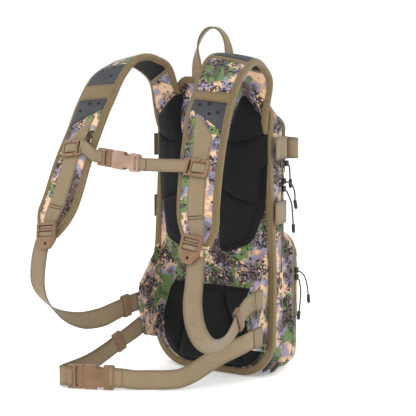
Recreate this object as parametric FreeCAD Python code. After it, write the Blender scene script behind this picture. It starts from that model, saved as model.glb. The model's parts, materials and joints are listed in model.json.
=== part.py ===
import FreeCAD, Part
import math
import os

# Hunting day pack, standing upright on its base. Millimetres.
# Origin: on the floor under the middle of the back panel. +X is to the right as the harness side is
# faced, -Y points out of the harness side towards the wearer, +Z is up.

os.makedirs("parts", exist_ok=True)
V = FreeCAD.Vector
UP = V(0, 0, 1)

# ---- driving sizes
panel_top = 500.0           # height of the back panel's top edge
panel_base = 2.5            # the panel's lower edge; the binding under it stands on the floor
panel_corners = [(120, panel_base, 64), (122, 180, 200), (112, 370, 200), (114, 447, 14), (62, panel_top, 14)]
binding_reach = 2.5         # binding beyond the panel's edge
binding_cover = 9.0         # binding over the panel's face
binding_front = -2.0        # front face of the binding
binding_back = 8.0
panel_thick = 4.0
wall = 2.0                  # fabric wall of a compartment
gap = 0.3                   # between pieces that aren't sewn face to face
strap_thick = 13.0          # foam shoulder strap
webbing_wide = 32.0         # shoulder and waist webbing
webbing_thick = 1.6
chest_webbing_wide = 20.0
belt_rail = 3.5             # plastic beside the webbing in each buckle
chest_rail = 4.0

# shoulder strap on +X, from its root on the panel to its lower end: inner edge, outer edge
strap_stations = [((66, -10, 485), (116, -9.5, 447)), ((63, -36, 520), (124, -10, 492)),
                  ((65, -64, 532), (130, -40, 517)), ((67, -90, 536), (137, -72, 525)),
                  ((69, -118, 529), (143, -105, 515)), ((73, -146, 503), (149, -138, 497)),
                  ((77, -169, 465), (153, -166, 459)), ((79, -184, 440), (156, -186, 420)),
                  ((88, -212, 372), (164, -212, 365)), ((97, -232, 306), (171, -231, 312)),
                  ((109, -241, 274), (176, -241, 283)), ((130, -250, 246), (168, -250, 252))]


# ---- helpers
def save(name, shape):
    if not shape.isValid():
        print("NOT VALID", name)
    shape.exportStep("parts/" + name + ".step")
    print("%-28s %9.1f mm3  solids %d" % (name, shape.Volume, len(shape.Solids)))


def mirrored(shape):
    return shape.mirror(V(0, 0, 0), V(1, 0, 0))


def both_sides(stem, right_shape):
    save(stem + "_right", right_shape)
    save(stem + "_left", mirrored(right_shape))


def together(shapes):
    return Part.makeCompound(shapes)


def block(x0, x1, y0, y1, z0, z1):
    return Part.makeBox(x1 - x0, y1 - y0, z1 - z0, V(x0, y0, z0))


def symmetric(corners):
    return corners + [(-u, v, r) for u, v, r in reversed(corners)]


def inset(corners, d):
    """Moves every side of a counter-clockwise outline inwards by d."""
    moved = []
    for i, (u, v, r) in enumerate(corners):
        before = corners[i - 1]
        after = corners[(i + 1) % len(corners)]
        a = V(u - before[0], v - before[1], 0).normalize()
        b = V(after[0] - u, after[1] - v, 0).normalize()
        normal_a = V(-a.y, a.x, 0)
        normal_b = V(-b.y, b.x, 0)
        shift = (normal_a + normal_b) * (d / (1 + normal_a.dot(normal_b)))
        moved.append((u + shift.x, v + shift.y, max(r - d, 1.0)))
    return moved


def rounded_wire(corners, place):
    """Closed outline of straight sides joined by tangent arcs; place(u, v) gives the point in space."""
    arcs = []
    for i, (u, v, r) in enumerate(corners):
        corner = V(u, v, 0)
        before = V(corners[i - 1][0], corners[i - 1][1], 0)
        after = V(corners[(i + 1) % len(corners)][0], corners[(i + 1) % len(corners)][1], 0)
        to_before = (before - corner).normalize()
        to_after = (after - corner).normalize()
        half = math.acos(max(-1.0, min(1.0, to_before.dot(to_after)))) / 2
        reach = r / math.tan(half)
        middle = corner + (to_before + to_after).normalize() * (r / math.sin(half) - r)
        arcs.append((corner + to_before * reach, middle, corner + to_after * reach))
    edges = []
    for i, (start, middle, end) in enumerate(arcs):
        points = [place(p.x, p.y) for p in (start, middle, end)]
        edges.append(Part.Arc(*points).toShape())
        following = arcs[(i + 1) % len(arcs)][0]
        edges.append(Part.makeLine(points[2], place(following.x, following.y)))
    return Part.Wire(edges)


def upright(y):
    return lambda x, z: V(x, y, z)


def slab(corners, y0, y1):
    return Part.Face(rounded_wire(corners, upright(y0))).extrude(V(0, y1 - y0, 0))


def bag(sections):
    """Solid through upright outlines, each (y, corners)."""
    return Part.makeLoft([rounded_wire(corners, upright(y)) for y, corners in sections], True, True)


def hollow(sections):
    inner = [(y, inset(corners, wall)) for y, corners in sections]
    inner[0] = (sections[0][0] + wall, inner[0][1])
    inner[-1] = (sections[-1][0] - wall, inner[-1][1])
    return bag(sections).cut(bag(inner))


def quad(points):
    return Part.makePolygon(points + [points[0]])


def ribbon(stations, thick):
    """Flat webbing through stations of (centre, across); across is half the width as a vector."""
    wires = []
    for i, (centre, across) in enumerate(stations):
        before = stations[max(i - 1, 0)][0]
        after = stations[min(i + 1, len(stations) - 1)][0]
        face = (after - before).cross(across).normalize() * (thick / 2)
        wires.append(quad([centre - across - face, centre + across - face,
                           centre + across + face, centre - across + face]))
    return Part.makeLoft(wires, True, True)


def turned(direction, wide):
    return direction.normalize() * (wide / 2)


# ---- shoulder strap surface: every layer on the strap is placed by station, share of width and height
def strap_frame():
    frame = []
    centres = [(V(*inner) + V(*outer)) * 0.5 for inner, outer in strap_stations]
    for i, (inner, outer) in enumerate(strap_stations):
        run = centres[min(i + 1, len(centres) - 1)] - centres[max(i - 1, 0)]
        across = V(*outer) - V(*inner)
        frame.append((V(*inner), V(*outer), run.cross(across).normalize()))
    return frame


strap_surface = strap_frame()


def blend_stations(station, item):
    i = min(int(station), len(strap_surface) - 2)
    t = station - i
    return strap_surface[i][item] * (1 - t) + strap_surface[i + 1][item] * t


def on_strap(station, share, height):
    middle = blend_stations(station, 0) * (1 - share) + blend_stations(station, 1) * share
    return middle + blend_stations(station, 2) * height


def strap_layer(start, end, share0, share1, height0, height1, slant=0.0):
    """Layer between two stations; slant moves the outer side of the end further along."""
    stops = [start] + [s for s in range(math.ceil(start + 0.05), math.floor(end - 0.05) + 1)] + [end]
    wires = []
    for s in stops:
        lean = slant if s == end else 0.0
        normal = blend_stations(s, 2)
        inner = on_strap(s, share0, 0)
        outer = on_strap(s + lean, share1, 0)
        wires.append(quad([inner + normal * height0, outer + normal * height0,
                           outer + normal * height1, inner + normal * height1]))
    return Part.makeLoft(wires, True, True)


# ---- back panel and its stiffener
panel_outline = symmetric(panel_corners)


# the stuffed pack pushes the panel out between the shoulder blades: (depth, inset from the bulge's outline)
bulge_corners = [(104, 168, 60), (98, 462, 36)]
bulge_steps = [(0, 0), (-10, 12), (-18, 32), (-22, 52)]
pad_corners = [(113, 150, 40), (113, 492, 30)]
pad_steps = [(-1, 0), (-15, 3), (-22, 16), (-29, 34), (-33, 56)]


def dome(corners, steps):
    return bag([(y, inset(symmetric(corners), step)) for y, step in steps])


def back_panel():
    shell = slab(panel_outline, 0, panel_thick).fuse(dome(bulge_corners, [(0.5, 0)] + bulge_steps)).removeSplitter()
    space = dome(bulge_corners, [(1.5, 3), (0, 3)] + [(y + 3, step + 3) for y, step in bulge_steps[1:]])
    save("back_panel", shell.cut(space))
    sheet_back = panel_thick + gap + wall + gap
    sheet = slab(inset(panel_outline, 14), sheet_back, sheet_back + 1.5)
    save("frame_sheet", sheet)


def edge_binding():
    rim = slab(inset(panel_outline, -binding_reach), binding_front, binding_back)
    rim = rim.cut(slab(panel_outline, 0, binding_back + 1))
    rim = rim.cut(slab(inset(panel_outline, binding_cover), binding_front - 1, 0.5))
    save("edge_binding", rim)


# ---- compartments
def compartment_outline(half, base, base_round, top, slope=50, drop=52):
    corners = [(half, base, base_round), (half, top - slope, 12), (half - drop, top, 12)]
    return symmetric(corners)


main_sections = [(panel_thick + gap, compartment_outline(111.5, 3.5, 60, 497)),
                 (30, compartment_outline(111, 0, 54, 488)),
                 (50, compartment_outline(109, 0, 44, 462)),
                 (58, compartment_outline(105, 5, 38, 440)),
                 (66, compartment_outline(92, 22, 26, 412))]
main_front = main_sections[-1][0]


def pocket_outline(half, base, top, radius):
    return symmetric([(half, base, radius), (half, top, radius)])


upper_sections = [(main_front + gap, pocket_outline(88, 318, 408, 20)), (74, pocket_outline(94, 306, 440, 26)),
                  (84, pocket_outline(90, 310, 436, 26)), (90, pocket_outline(74, 326, 416, 20))]
lower_sections = [(main_front + gap, pocket_outline(98, 6, 250, 28)), (86, pocket_outline(106, 0, 242, 30)),
                  (104, pocket_outline(104, 2, 226, 32)), (116, pocket_outline(94, 18, 208, 30)),
                  (122, pocket_outline(74, 44, 186, 24))]


def sleeve():
    """Reservoir sleeve: an open-topped flat pocket behind the stiffener."""
    outer = slab(pocket_outline(84, 60, 400, 12), 9.0, 26.0)
    inner = slab(pocket_outline(82.5, 61.5, 420, 10), 10.2, 24.8)
    save("hydration_sleeve", outer.cut(inner))


def zipper_ring(sections, y0, y1, above, proud=1.2):
    raised = [(y, inset(corners, -proud)) for y, corners in sections]
    ring = bag(raised).cut(bag(sections))
    keep = block(-140, 140, y0, y1, above, 520)
    return ring.common(keep)


main_zip = (40.0, 48.0)      # from and to, along Y, of each zipper's tape
upper_zip = (75.0, 83.0)
lower_zip = (88.0, 102.0)


def compartments():
    save("main_compartment", hollow(main_sections))
    save("upper_pocket", hollow(upper_sections))
    save("lower_pocket", hollow(lower_sections))
    sleeve()
    save("main_zipper", zipper_ring(main_sections, main_zip[0], main_zip[1], 170))
    save("upper_zipper", zipper_ring(upper_sections, upper_zip[0], upper_zip[1], 340))
    save("lower_zipper", zipper_ring(lower_sections, lower_zip[0], lower_zip[1], 90))


# ---- padding against the back
def padding():
    outline = [(30, 206, 12), (88, 228, 30), (108, 300, 80), (111, 360, 20), (110.5, 438, 8), (64, 481, 8),
               (49, 410, 50), (28, 320, 50)]
    pad = slab(outline, -40, -0.1).common(dome(pad_corners, pad_steps))
    pad = pad.cut(dome(bulge_corners, [(5, 0)] + [(y - 0.1, step) for y, step in bulge_steps]))
    rim = slab(inset(panel_outline, -5), binding_front - gap, 3)
    pad = pad.cut(rim.cut(slab(inset(panel_outline, binding_cover + gap), -6, 6)))
    both_sides("back_pad", pad)
    lumbar = symmetric([(100, 13, 52), (103, 90, 60), (84, 150, 22)])
    save("lumbar_pad", bag([(0, lumbar), (-12, inset(lumbar, 3)), (-18, inset(lumbar, 12))]))


# ---- hip wings: fabric tabs that carry the waist webbing and the lower ends of the shoulder webbing
wing_inner = 109.0
wing_thick = 4.0
wing_points = [(binding_front, 218), (binding_front, 46), (-50, 58), (-66, 119), (-60, 150)]


def wings():
    points = [V(wing_inner, y, z) for y, z in wing_points]
    both_sides("hip_wing", Part.Face(quad(points)).extrude(V(wing_thick, 0, 0)))


# ---- haul loop: flat at its feet, folded narrower and turned edge-on over the top
haul_thick = 3.0
haul_route = [((33, 0, 505), (9.5, 0, 0)), ((33, 0, 517), (9.5, 0, 0)), ((33, 0, 530), (8.6, 1.5, 0)),
              ((32.4, 0, 543), (5.6, 4.0, 0)), ((29.5, 0, 557), (2.6, 5.6, 0.6)), ((23.5, 0, 570), (0.8, 6, 0.5)),
              ((13, 0, 580.5), (0, 6, 0)), ((0, 0, 584), (0, 6, 0))]


def haul_loop():
    right = [(V(*centre), V(*across)) for centre, across in haul_route]
    left = [(V(-c.x, 0, c.z), V(-a.x, a.y, a.z)) for c, a in reversed(right[:-1])]
    save("haul_loop", ribbon(right + left, haul_thick))


# ---- shoulder straps and what is sewn on them
face_height = strap_thick / 2
web_share = (0.29, 0.71)     # the webbing's edges as shares of the strap's width
web_start = 7.25             # station of the webbing's upper end
web_end = 10.45


def shoulder_straps():
    both_sides("shoulder_strap", strap_layer(0, 11, 0, 1, -face_height, face_height))
    both_sides("strap_webbing", strap_layer(web_start, web_end, web_share[0], web_share[1],
                                            face_height, face_height + webbing_thick))
    low, high = face_height + 0.5, face_height + 1.6
    upper_grip = strap_layer(2.85, 3.75, 0.1, 0.9, low, high)
    lower_grip = strap_layer(5.75, 6.55, 0.1, 0.9, low, high, 0.45)
    upper_tape = strap_layer(3.8, 3.98, 0.1, 0.9, low, high)
    lower_tape = strap_layer(5.5, 5.7, 0.1, 0.9, low, high)
    under_tape = strap_layer(1.6, 1.85, 0.1, 0.9, -high, -low)
    both_sides("grip_patches", together([upper_grip, lower_grip]))
    both_sides("cross_tapes", together([upper_tape, lower_tape, under_tape]))


# ---- ladder locks at the lower ends of the straps
lock_top = V(143.5, -258.5, 268)
lock_low = V(152, -267.5, 229)
lock_wide = 38.0
lock_thick = 4.5


def local_frame(origin, x_axis, down):
    """Placement whose x runs along x_axis and whose y runs along down; z is the face's normal."""
    x = V(x_axis).normalize()
    z = x.cross(V(down)).normalize()
    y = z.cross(x)
    return FreeCAD.Placement(FreeCAD.Matrix(x.x, y.x, z.x, origin.x, x.y, y.y, z.y, origin.y,
                                            x.z, y.z, z.z, origin.z, 0, 0, 0, 1))


def flat_plate(corners, z0, z1):
    wire = rounded_wire(corners, lambda u, v: V(u, v, z0))
    return Part.Face(wire).extrude(V(0, 0, z1 - z0))


def window(u0, u1, v0, v1, radius, z0, z1):
    return flat_plate([(u1, v0, radius), (u1, v1, radius), (u0, v1, radius), (u0, v0, radius)], z0, z1)


def ladder_lock():
    half = lock_wide / 2
    plate = flat_plate([(half, -3, 3), (half, 26, 6), (8, 40, 5), (-8, 40, 5), (-half, 26, 6), (-half, -3, 3)],
                       -lock_thick / 2, lock_thick / 2)
    slot_half = webbing_wide / 2 + 0.6 - 2
    for v0, v1 in ((1.5, 7.5), (10.5, 20)):
        plate = plate.cut(window(-slot_half, slot_half, v0, v1, 1.2, -5, 5))
    hole = Part.makeCylinder(2.6, 12, V(0, 31, -6))
    plate = plate.cut(hole)
    plate.Placement = local_frame(lock_top, V(-1, 0.06, 0.12), lock_low - lock_top)
    return plate


# ---- webbing from the ladder locks to the wings
lower_route = {
    "right": [((150.5, -260.5, 240), (1, 0, -0.1)), ((152, -264, 222), (1, 0, -0.05)), ((151, -266, 196), (1, 0.05, 0)),
              ((148, -265, 168), (1, 0.15, 0.05)), ((144, -253, 136), (1, 0.3, 0.15)),
              ((139, -228, 108), (1, 0.35, 0.5)), ((133, -196, 93), (0.8, 0.2, 0.9)),
              ((128, -160, 90), (0.5, 0.05, 1)), ((123, -125, 100), (0.2, -0.2, 1)),
              ((118.5, -98, 117), (0.05, -0.3, 1)), ((116, -76, 130), (0, -0.2, 1)),
              ((114.6, -58, 136), (0, -0.1, 1)), ((114.2, -34, 139), (0, 0, 1))],
    "left": [((150.5, -260.5, 240), (1, 0, -0.1)), ((153, -265, 222), (1, 0, -0.05)), ((155, -268, 197), (1, 0, 0)),
             ((155, -268, 170), (1, 0.1, 0.05)), ((152, -256, 144), (1, 0.3, 0.2)),
             ((146, -228, 118), (1, 0.35, 0.6)), ((137, -188, 102), (0.7, 0.2, 0.9)),
             ((128, -147, 101), (0.4, 0, 1)), ((121, -117, 108), (0.1, -0.1, 1)),
             ((117.5, -90, 114), (0, 0, 1)), ((115.2, -66, 117), (0, 0, 1)),
             ((114.4, -50, 118), (0, 0, 1)), ((114.2, -30, 119), (0, 0, 1))]}


def lower_webbing():
    for side, route in lower_route.items():
        stations = [(V(*centre), turned(V(*across), webbing_wide)) for centre, across in route]
        # the last run lies flat on the wing's outer face
        lay_flat = wing_inner + wing_thick + webbing_thick / 2
        for i in (-2, -1):
            stations[i] = (V(lay_flat, stations[i][0].y, stations[i][0].z), stations[i][1])
        shape = ribbon(stations, webbing_thick)
        keeper_at = stations[-4][0]
        along = (stations[-3][0] - stations[-5][0])
        keeper = sleeve_on(keeper_at, along, stations[-4][1], webbing_wide, 16)
        if side == "left":
            shape = mirrored(shape)
            keeper = mirrored(keeper)
        save("lower_webbing_" + side, shape)
        save("lower_keeper_" + side, keeper)


def sleeve_on(centre, along, across, wide, length):
    """Flat loop of webbing wrapped round another webbing."""
    place = local_frame(centre, across, along)
    clear = 2.4
    thick = 1.4
    half = wide / 2 + clear
    outer = block(-half - thick, half + thick, -length / 2, length / 2, -clear - thick, clear + thick)
    inner = block(-half, half, -length, length, -clear, clear)
    loop = outer.cut(inner)
    loop.Placement = place
    return loop


# ---- side-release buckles
class Buckle:
    """Side-release buckle in its own frame: x along the webbing from the male end, z out of its face."""

    def __init__(self, wide, rail, bar_run, arm_run, place):
        self.place = place
        self.half = wide / 2 + rail
        self.slot = wide / 2 + 0.6
        self.bar_run = bar_run
        self.arm_run = arm_run
        self.thick = 9.0

    def put(self, shape):
        shape.Placement = self.place
        return shape

    def male(self):
        run = self.bar_run
        plate = window(0, run, -self.half, self.half, 3, -2.6, 2.6)
        for x0, x1 in ((run * 0.14, run * 0.32), (run * 0.50, run * 0.68)):
            plate = plate.cut(window(x0, x1, -self.slot, self.slot, 1, -5, 5))
        spine = block(run - 0.5, run + self.arm_run - 3, -2.2, 2.2, -1.3, 1.3)
        return self.put(plate.fuse(spine))

    def prong(self, side):
        """Sprung arm with a hooked end; side is 1 above the spine and -1 below it."""
        x0 = self.bar_run + 0.6
        x1 = self.bar_run + self.arm_run
        reach = self.half - 1.6
        points = [(x0, reach - 6), (x1 - 12, reach - 6), (x1, reach - 7), (x1, reach - 3), (x1 - 9, reach),
                  (x1 - 10, reach - 2.6), (x0, reach - 2)]
        wire = quad([V(x, side * v, -1.7) for x, v in points])
        return self.put(Part.Face(wire).extrude(V(0, 0, 3.4)))

    def female(self):
        x0 = self.bar_run + gap
        x1 = self.bar_run + self.arm_run + 4
        x2 = x1 + 12
        shell = window(x0, x2, -self.half, self.half, 4, -self.thick / 2, self.thick / 2)
        cavity = block(x0 - 5, x1, -self.half + 1.2, self.half - 1.2, -2.3, 2.3)
        shell = shell.cut(cavity)
        for side in (1, -1):
            low = min(side * (self.half - 4.5), side * (self.half + 2))
            notch = window(x1 - 17, x1 - 5, low, low + 6.5, 2.5, -10, 10)
            shell = shell.cut(notch)
        bar_slot = window(x2 - 8, x2 - 3.5, -self.slot, self.slot, 1.5, -10, 10)
        return self.put(shell.cut(bar_slot))

    def at(self, x, z=0.0):
        return self.place.multVec(V(x, 0, z))


chest_left_end = V(-66, -221.5, 378)
chest_right_end = V(20, -221.5, 369)
belt_left_end = V(-124, -234, webbing_wide / 2 + belt_rail)
belt_right_end = V(-50, -200, webbing_wide / 2 + belt_rail)


def buckle_place(left, right):
    along = (right - left).normalize()
    upright_axis = UP - along * UP.dot(along)
    out = along.cross(upright_axis.normalize())
    up = out.cross(along)
    return FreeCAD.Placement(FreeCAD.Matrix(along.x, up.x, out.x, left.x, along.y, up.y, out.y, left.y,
                                            along.z, up.z, out.z, left.z, 0, 0, 0, 1))


chest_buckle = Buckle(chest_webbing_wide, chest_rail, 31, 36, buckle_place(chest_left_end, chest_right_end))
belt_buckle = Buckle(webbing_wide, belt_rail, 27, 35, buckle_place(belt_left_end, belt_right_end))


def buckles():
    for stem, buckle in (("chest_buckle", chest_buckle), ("belt_buckle", belt_buckle)):
        save(stem + "_male", buckle.male())
        save(stem + "_female", buckle.female())
        save(stem + "_prong_upper", buckle.prong(1))
        save(stem + "_prong_lower", buckle.prong(-1))


# ---- chest strap: a slider on each strap's webbing, webbing to each half of the buckle
slider_station = {"right": 8.08, "left": 7.75}
slider_wide = 42.0
slider_tall = 27.0
slider_lift = 2.3           # above the strap webbing
slider_lug = 1.0            # depth of the lips beside the webbing


def slider_place(side):
    s = slider_station[side]
    share = (web_share[0] + web_share[1]) / 2
    centre = on_strap(s, share, face_height + webbing_thick + slider_lift)
    down = on_strap(s + 0.3, share, 0) - on_strap(s - 0.3, share, 0)
    across = on_strap(s, 0, 0) - on_strap(s, 1, 0)
    return local_frame(centre, across, down)


def chest_slider(side):
    """Frame over the strap webbing with a lug down each side of it and a bar for the chest webbing."""
    half = slider_wide / 2
    tall = slider_tall / 2
    plate = window(-half, half, -tall, tall, 3, 0, 3)
    plate = plate.cut(window(-half + 5, half - 11.5, -tall + 5, tall - 5, 2, -5, 8))
    plate = plate.cut(window(half - 9, half - 4.5, -11, 11, 1.2, -5, 8))
    for v in (-1, 1):
        lug_in = webbing_wide / 2 + 2.2
        low = min(v * lug_in, v * (lug_in + 2.0))
        lug = block(low, low + 2.0, -tall + 5, tall - 5, -slider_lug, 0.5)
        plate = plate.fuse(lug)
    plate.Placement = slider_place(side)
    return plate


def chest_strap():
    ends = {}
    end_across = {}
    for side in ("right", "left"):
        shape = chest_slider(side)
        inner_bar = slider_place(side).multVec(V(slider_wide / 2 + 1.6, 0, 1.8))
        along_bar = slider_place(side).Rotation.multVec(V(0, -chest_webbing_wide / 2, 0))
        if side == "left":
            shape = mirrored(shape)
            inner_bar.x = -inner_bar.x
            along_bar.x = -along_bar.x
        ends[side] = inner_bar
        end_across[side] = along_bar
        save("chest_slider_" + side, shape)
    across = chest_buckle.place.Rotation.multVec(V(0, chest_webbing_wide / 2, 0))
    run = chest_buckle.bar_run + chest_buckle.arm_run + 16
    left_stop = chest_buckle.at(-1)
    right_stop = chest_buckle.at(run + 1)
    left = [(ends["left"], end_across["left"]), (chest_buckle.at(-10), across),
            (left_stop, across)]
    save("chest_webbing_left", ribbon(left, webbing_thick))
    first = chest_buckle.at(run + 9)
    span = ends["right"] - first
    stations = [(right_stop, across), (first, across)]
    stations += [(first + span * t + V(0, -2.5 * math.sin(math.pi * t), 0), across) for t in (0.3, 0.6)]
    stations += [(ends["right"], end_across["right"])]
    save("chest_webbing_right", ribbon(stations, webbing_thick))


# ---- waist belt, standing on the lower edge of its webbing
belt_wide = webbing_wide
stand = belt_wide / 2 + 0.4


def belt():
    flat_x = wing_inner + wing_thick + webbing_thick / 2
    male_end = belt_buckle.at(-1)
    female_end = belt_buckle.at(belt_buckle.bar_run + belt_buckle.arm_run + 17)
    left_points = [(male_end, UP), (belt_buckle.at(-8), UP), (V(-139, -236, stand + 2), UP),
                   (V(-146, -222, stand + 1), UP), (V(-150, -198, stand + 1), UP),
                   (V(-150, -172, stand + 3), V(0.02, -0.05, 1)), (V(-146, -146, stand + 9), V(0.06, -0.2, 1)),
                   (V(-137, -120, stand + 22), V(0.1, -0.4, 1)), (V(-127, -98, stand + 36), V(0.1, -0.5, 1)),
                   (V(-118.6, -78, 64), V(0.05, -0.4, 1)), (V(-flat_x - 0.6, -62, 72), V(0, -0.2, 1)),
                   (V(-flat_x, -48, 77), V(0, -0.15, 1)), (V(-flat_x, -30, 79), V(0, 0, 1))]
    stations = [(point, turned(V(lean), belt_wide)) for point, lean in left_points]
    save("belt_webbing_left", ribbon(stations, webbing_thick))
    along = left_points[9][0] - left_points[7][0]
    save("belt_keeper", sleeve_on(left_points[8][0], along, stations[8][1], belt_wide, 16))
    right_points = [(female_end, UP), (belt_buckle.at(belt_buckle.bar_run + belt_buckle.arm_run + 26), UP),
                    (V(-24, -183, stand), UP), (V(-4, -169, stand), UP),
                    (V(18, -156, stand + 0.5), UP), (V(36, -143, stand + 3), V(-0.1, -0.1, 1)),
                    (V(52, -128, stand + 12), V(-0.3, -0.3, 1)), (V(68, -112, stand + 26), V(-0.35, -0.4, 1)),
                    (V(86, -98, 56), V(-0.25, -0.4, 1)), (V(103, -86, 66), V(-0.1, -0.3, 1)),
                    (V(112.5, -74, 72), V(0, -0.2, 1)), (V(flat_x + 0.6, -62, 75), V(0, -0.1, 1)),
                    (V(flat_x, -50, 76), V(0, -0.1, 1)),
                    (V(flat_x, -28, 78), V(0, 0, 1))]
    stations = [(point, turned(V(lean), belt_wide)) for point, lean in right_points]
    save("belt_webbing_right", ribbon(stations, webbing_thick))


# ---- side compression straps with rolled tails
def compression_straps():
    wide = 38.0
    lay = 114.4
    route = [(124.8, 1.0), (125.2, 9.0), (118, 16), (lay + 0.8, 30), (lay + 0.3, 50), (110.0, 60)]
    upper = ribbon([(V(x, y, 385), V(0, 0, wide / 2)) for x, y in route], 1.6)
    roll = Part.makeCylinder(11, 34, V(107, 71, 366))
    lower = ribbon([(V(x, y, 278), V(0, 0, wide / 2)) for x, y in route[:-1]], 1.6)
    fold = ribbon([(V(122.5, 16.5, 278), V(0, 0, wide / 2)), (V(120.5, 32, 278), V(0, 0, wide / 2)),
                   (V(119.5, 41, 278), V(0, 0, wide / 2))], 1.6)
    both_sides("compression_straps", together([upper, roll, lower, fold]))


# ---- zipper sliders and their pull cords, on the right-hand side
def side_at(sections, y):
    """Half width of a compartment's straight side at depth y."""
    for (y0, outline0), (y1, outline1) in zip(sections, sections[1:]):
        if y0 <= y <= y1:
            t = (y - y0) / (y1 - y0)
            return outline0[0][0] * (1 - t) + outline1[0][0] * t
    return sections[-1][1][0][0]


slider_size = (4.5, 8.0, 10.0)    # out of the side, along Y, along Z
slider_places = {"main_slider_upper": (main_sections, main_zip, 329), "main_slider_lower": (main_sections, main_zip, 316),
                 "upper_slider": (upper_sections, upper_zip, 356), "lower_slider_upper": (lower_sections, lower_zip, 172),
                 "lower_slider_lower": (lower_sections, lower_zip, 160)}


def zip_slider(sections, zip_range, height):
    y = (zip_range[0] + zip_range[1]) / 2
    x = max(side_at(sections, y - slider_size[1] / 2), side_at(sections, y + slider_size[1] / 2)) + 1.2 + gap + 0.4
    body = block(x, x + slider_size[0], y - slider_size[1] / 2, y + slider_size[1] / 2,
                 height - slider_size[2] / 2, height + slider_size[2] / 2)
    return body


cord_radius = 1.3
# pull cords, from the slider's eye to the knotted end
cord_routes = {
    "pull_cord_upper": [(102, 79, 354), (103.5, 79.5, 345), (103.5, 80, 335), (104, 81, 325), (103.5, 82, 315)],
    "pull_cord_main_short": [(118.2, 44, 328), (120, 54, 326), (121, 63, 318), (120.5, 69, 306), (120, 70, 293),
                             (120.5, 73, 281)],
    "pull_cord_main_long": [(118.2, 45, 313), (121.5, 50, 302), (122.5, 56, 289), (122, 59, 272), (121, 63, 257),
                            (119.5, 67, 241)],
    "pull_cord_lower_back": [(113.6, 95, 157), (115, 98, 145), (115, 100, 131), (114, 99.5, 116), (113.5, 97, 101),
                             (114, 94, 87)],
    "pull_cord_lower_front": [(113.6, 97, 170), (115.5, 106, 165), (115.5, 115, 155), (114.5, 122, 142),
                              (113, 128, 127), (112.5, 131, 111)]}


def cord_tube(route, radius):
    """Straight runs joined by the largest tangent arcs that the runs allow."""
    points = [V(*p) for p in route]
    runs = [(b - a).Length for a, b in zip(points, points[1:])]
    start = points[0]
    edges = []
    length = 0.0
    for i in range(1, len(points) - 1):
        back = (points[i - 1] - points[i]).normalize()
        ahead = (points[i + 1] - points[i]).normalize()
        turn = math.pi - back.getAngle(ahead)
        reach = 0.45 * min(runs[i - 1], runs[i])
        bend = reach / math.tan(turn / 2)
        entry = points[i] + back * reach
        exit_point = points[i] + ahead * reach
        half = (math.pi - turn) / 2
        middle = points[i] + (back + ahead).normalize() * (bend / math.sin(half) - bend)
        edges.append(Part.makeLine(start, entry))
        edges.append(Part.Arc(entry, middle, exit_point).toShape())
        length += (entry - start).Length + bend * turn
        start = exit_point
    edges.append(Part.makeLine(start, points[-1]))
    length += (points[-1] - start).Length
    path = Part.Wire(edges)
    profile = Part.Wire(Part.Circle(points[0], points[1] - points[0], radius).toShape())
    tube = path.makePipeShell([profile], True, False)
    return tube, length


def zipper_pulls():
    for name, (sections, zip_range, height) in slider_places.items():
        save(name, zip_slider(sections, zip_range, height))
    for name, route in cord_routes.items():
        tube, length = cord_tube(route, cord_radius)
        save(name, tube)
        print("   cord length %.1f mm" % length)


# ---- lash straps round the lower corners of the base
def base_corner(y, x, off):
    """Point off the main compartment's rounded lower corner at depth y, with its normal and tangent."""
    for (y0, low), (y1, high) in zip(main_sections, main_sections[1:]):
        if y0 <= y <= y1:
            t = (y - y0) / (y1 - y0)
            half, base, radius = [a * (1 - t) + b * t for a, b in zip(low[0], high[0])]
    centre = V(half - radius, y, base + radius)
    surface = V(x, y, centre.z - math.sqrt(radius ** 2 - (x - centre.x) ** 2))
    normal = (surface - centre).normalize()
    return surface + normal * off, normal, V(-normal.z, 0, normal.x)


lash_x = 97.0
lash_wide = 20.0


def lash_straps():
    """A short strap round each lower corner, with two three-bar buckles on it."""
    route = [base_corner(y, lash_x, 2.6) for y in (12, 21, 30, 40, 50, 54)]
    strap = ribbon([(point, tangent * (lash_wide / 2)) for point, normal, tangent in route], 1.4)
    plate = window(-12.5, 12.5, -6.5, 6.5, 2, 0, 2.4)
    for v0, v1 in ((-4.2, -1), (1, 4.2)):
        plate = plate.cut(window(-10.2, 10.2, v0, v1, 0.8, -1, 5))
    lash_buckles = []
    for y in (18, 42):
        point, normal, tangent = base_corner(y, lash_x, 4.8)
        buckle = plate.copy()
        buckle.Placement = local_frame(point, tangent, V(0, 1, 0))
        if buckle.Placement.Rotation.multVec(UP).dot(normal) < 0:
            buckle.Placement = local_frame(point, tangent * -1, V(0, 1, 0))
        lash_buckles.append(buckle)
    save("lash_straps", together([strap, mirrored(strap)]))
    save("lash_buckles", together(lash_buckles + [mirrored(buckle) for buckle in lash_buckles]))


back_panel()
edge_binding()
compartments()
padding()
wings()
haul_loop()
shoulder_straps()
both_sides("ladder_lock", ladder_lock())
lower_webbing()
buckles()
chest_strap()
belt()
compression_straps()
zipper_pulls()
lash_straps()
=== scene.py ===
import bpy
import bmesh
import json
import math
import random
import numpy as np
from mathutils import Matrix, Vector
from mathutils.bvhtree import BVHTree
from mathutils.geometry import delaunay_2d_cdt
from mathutils.noise import fractal, noise

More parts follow.
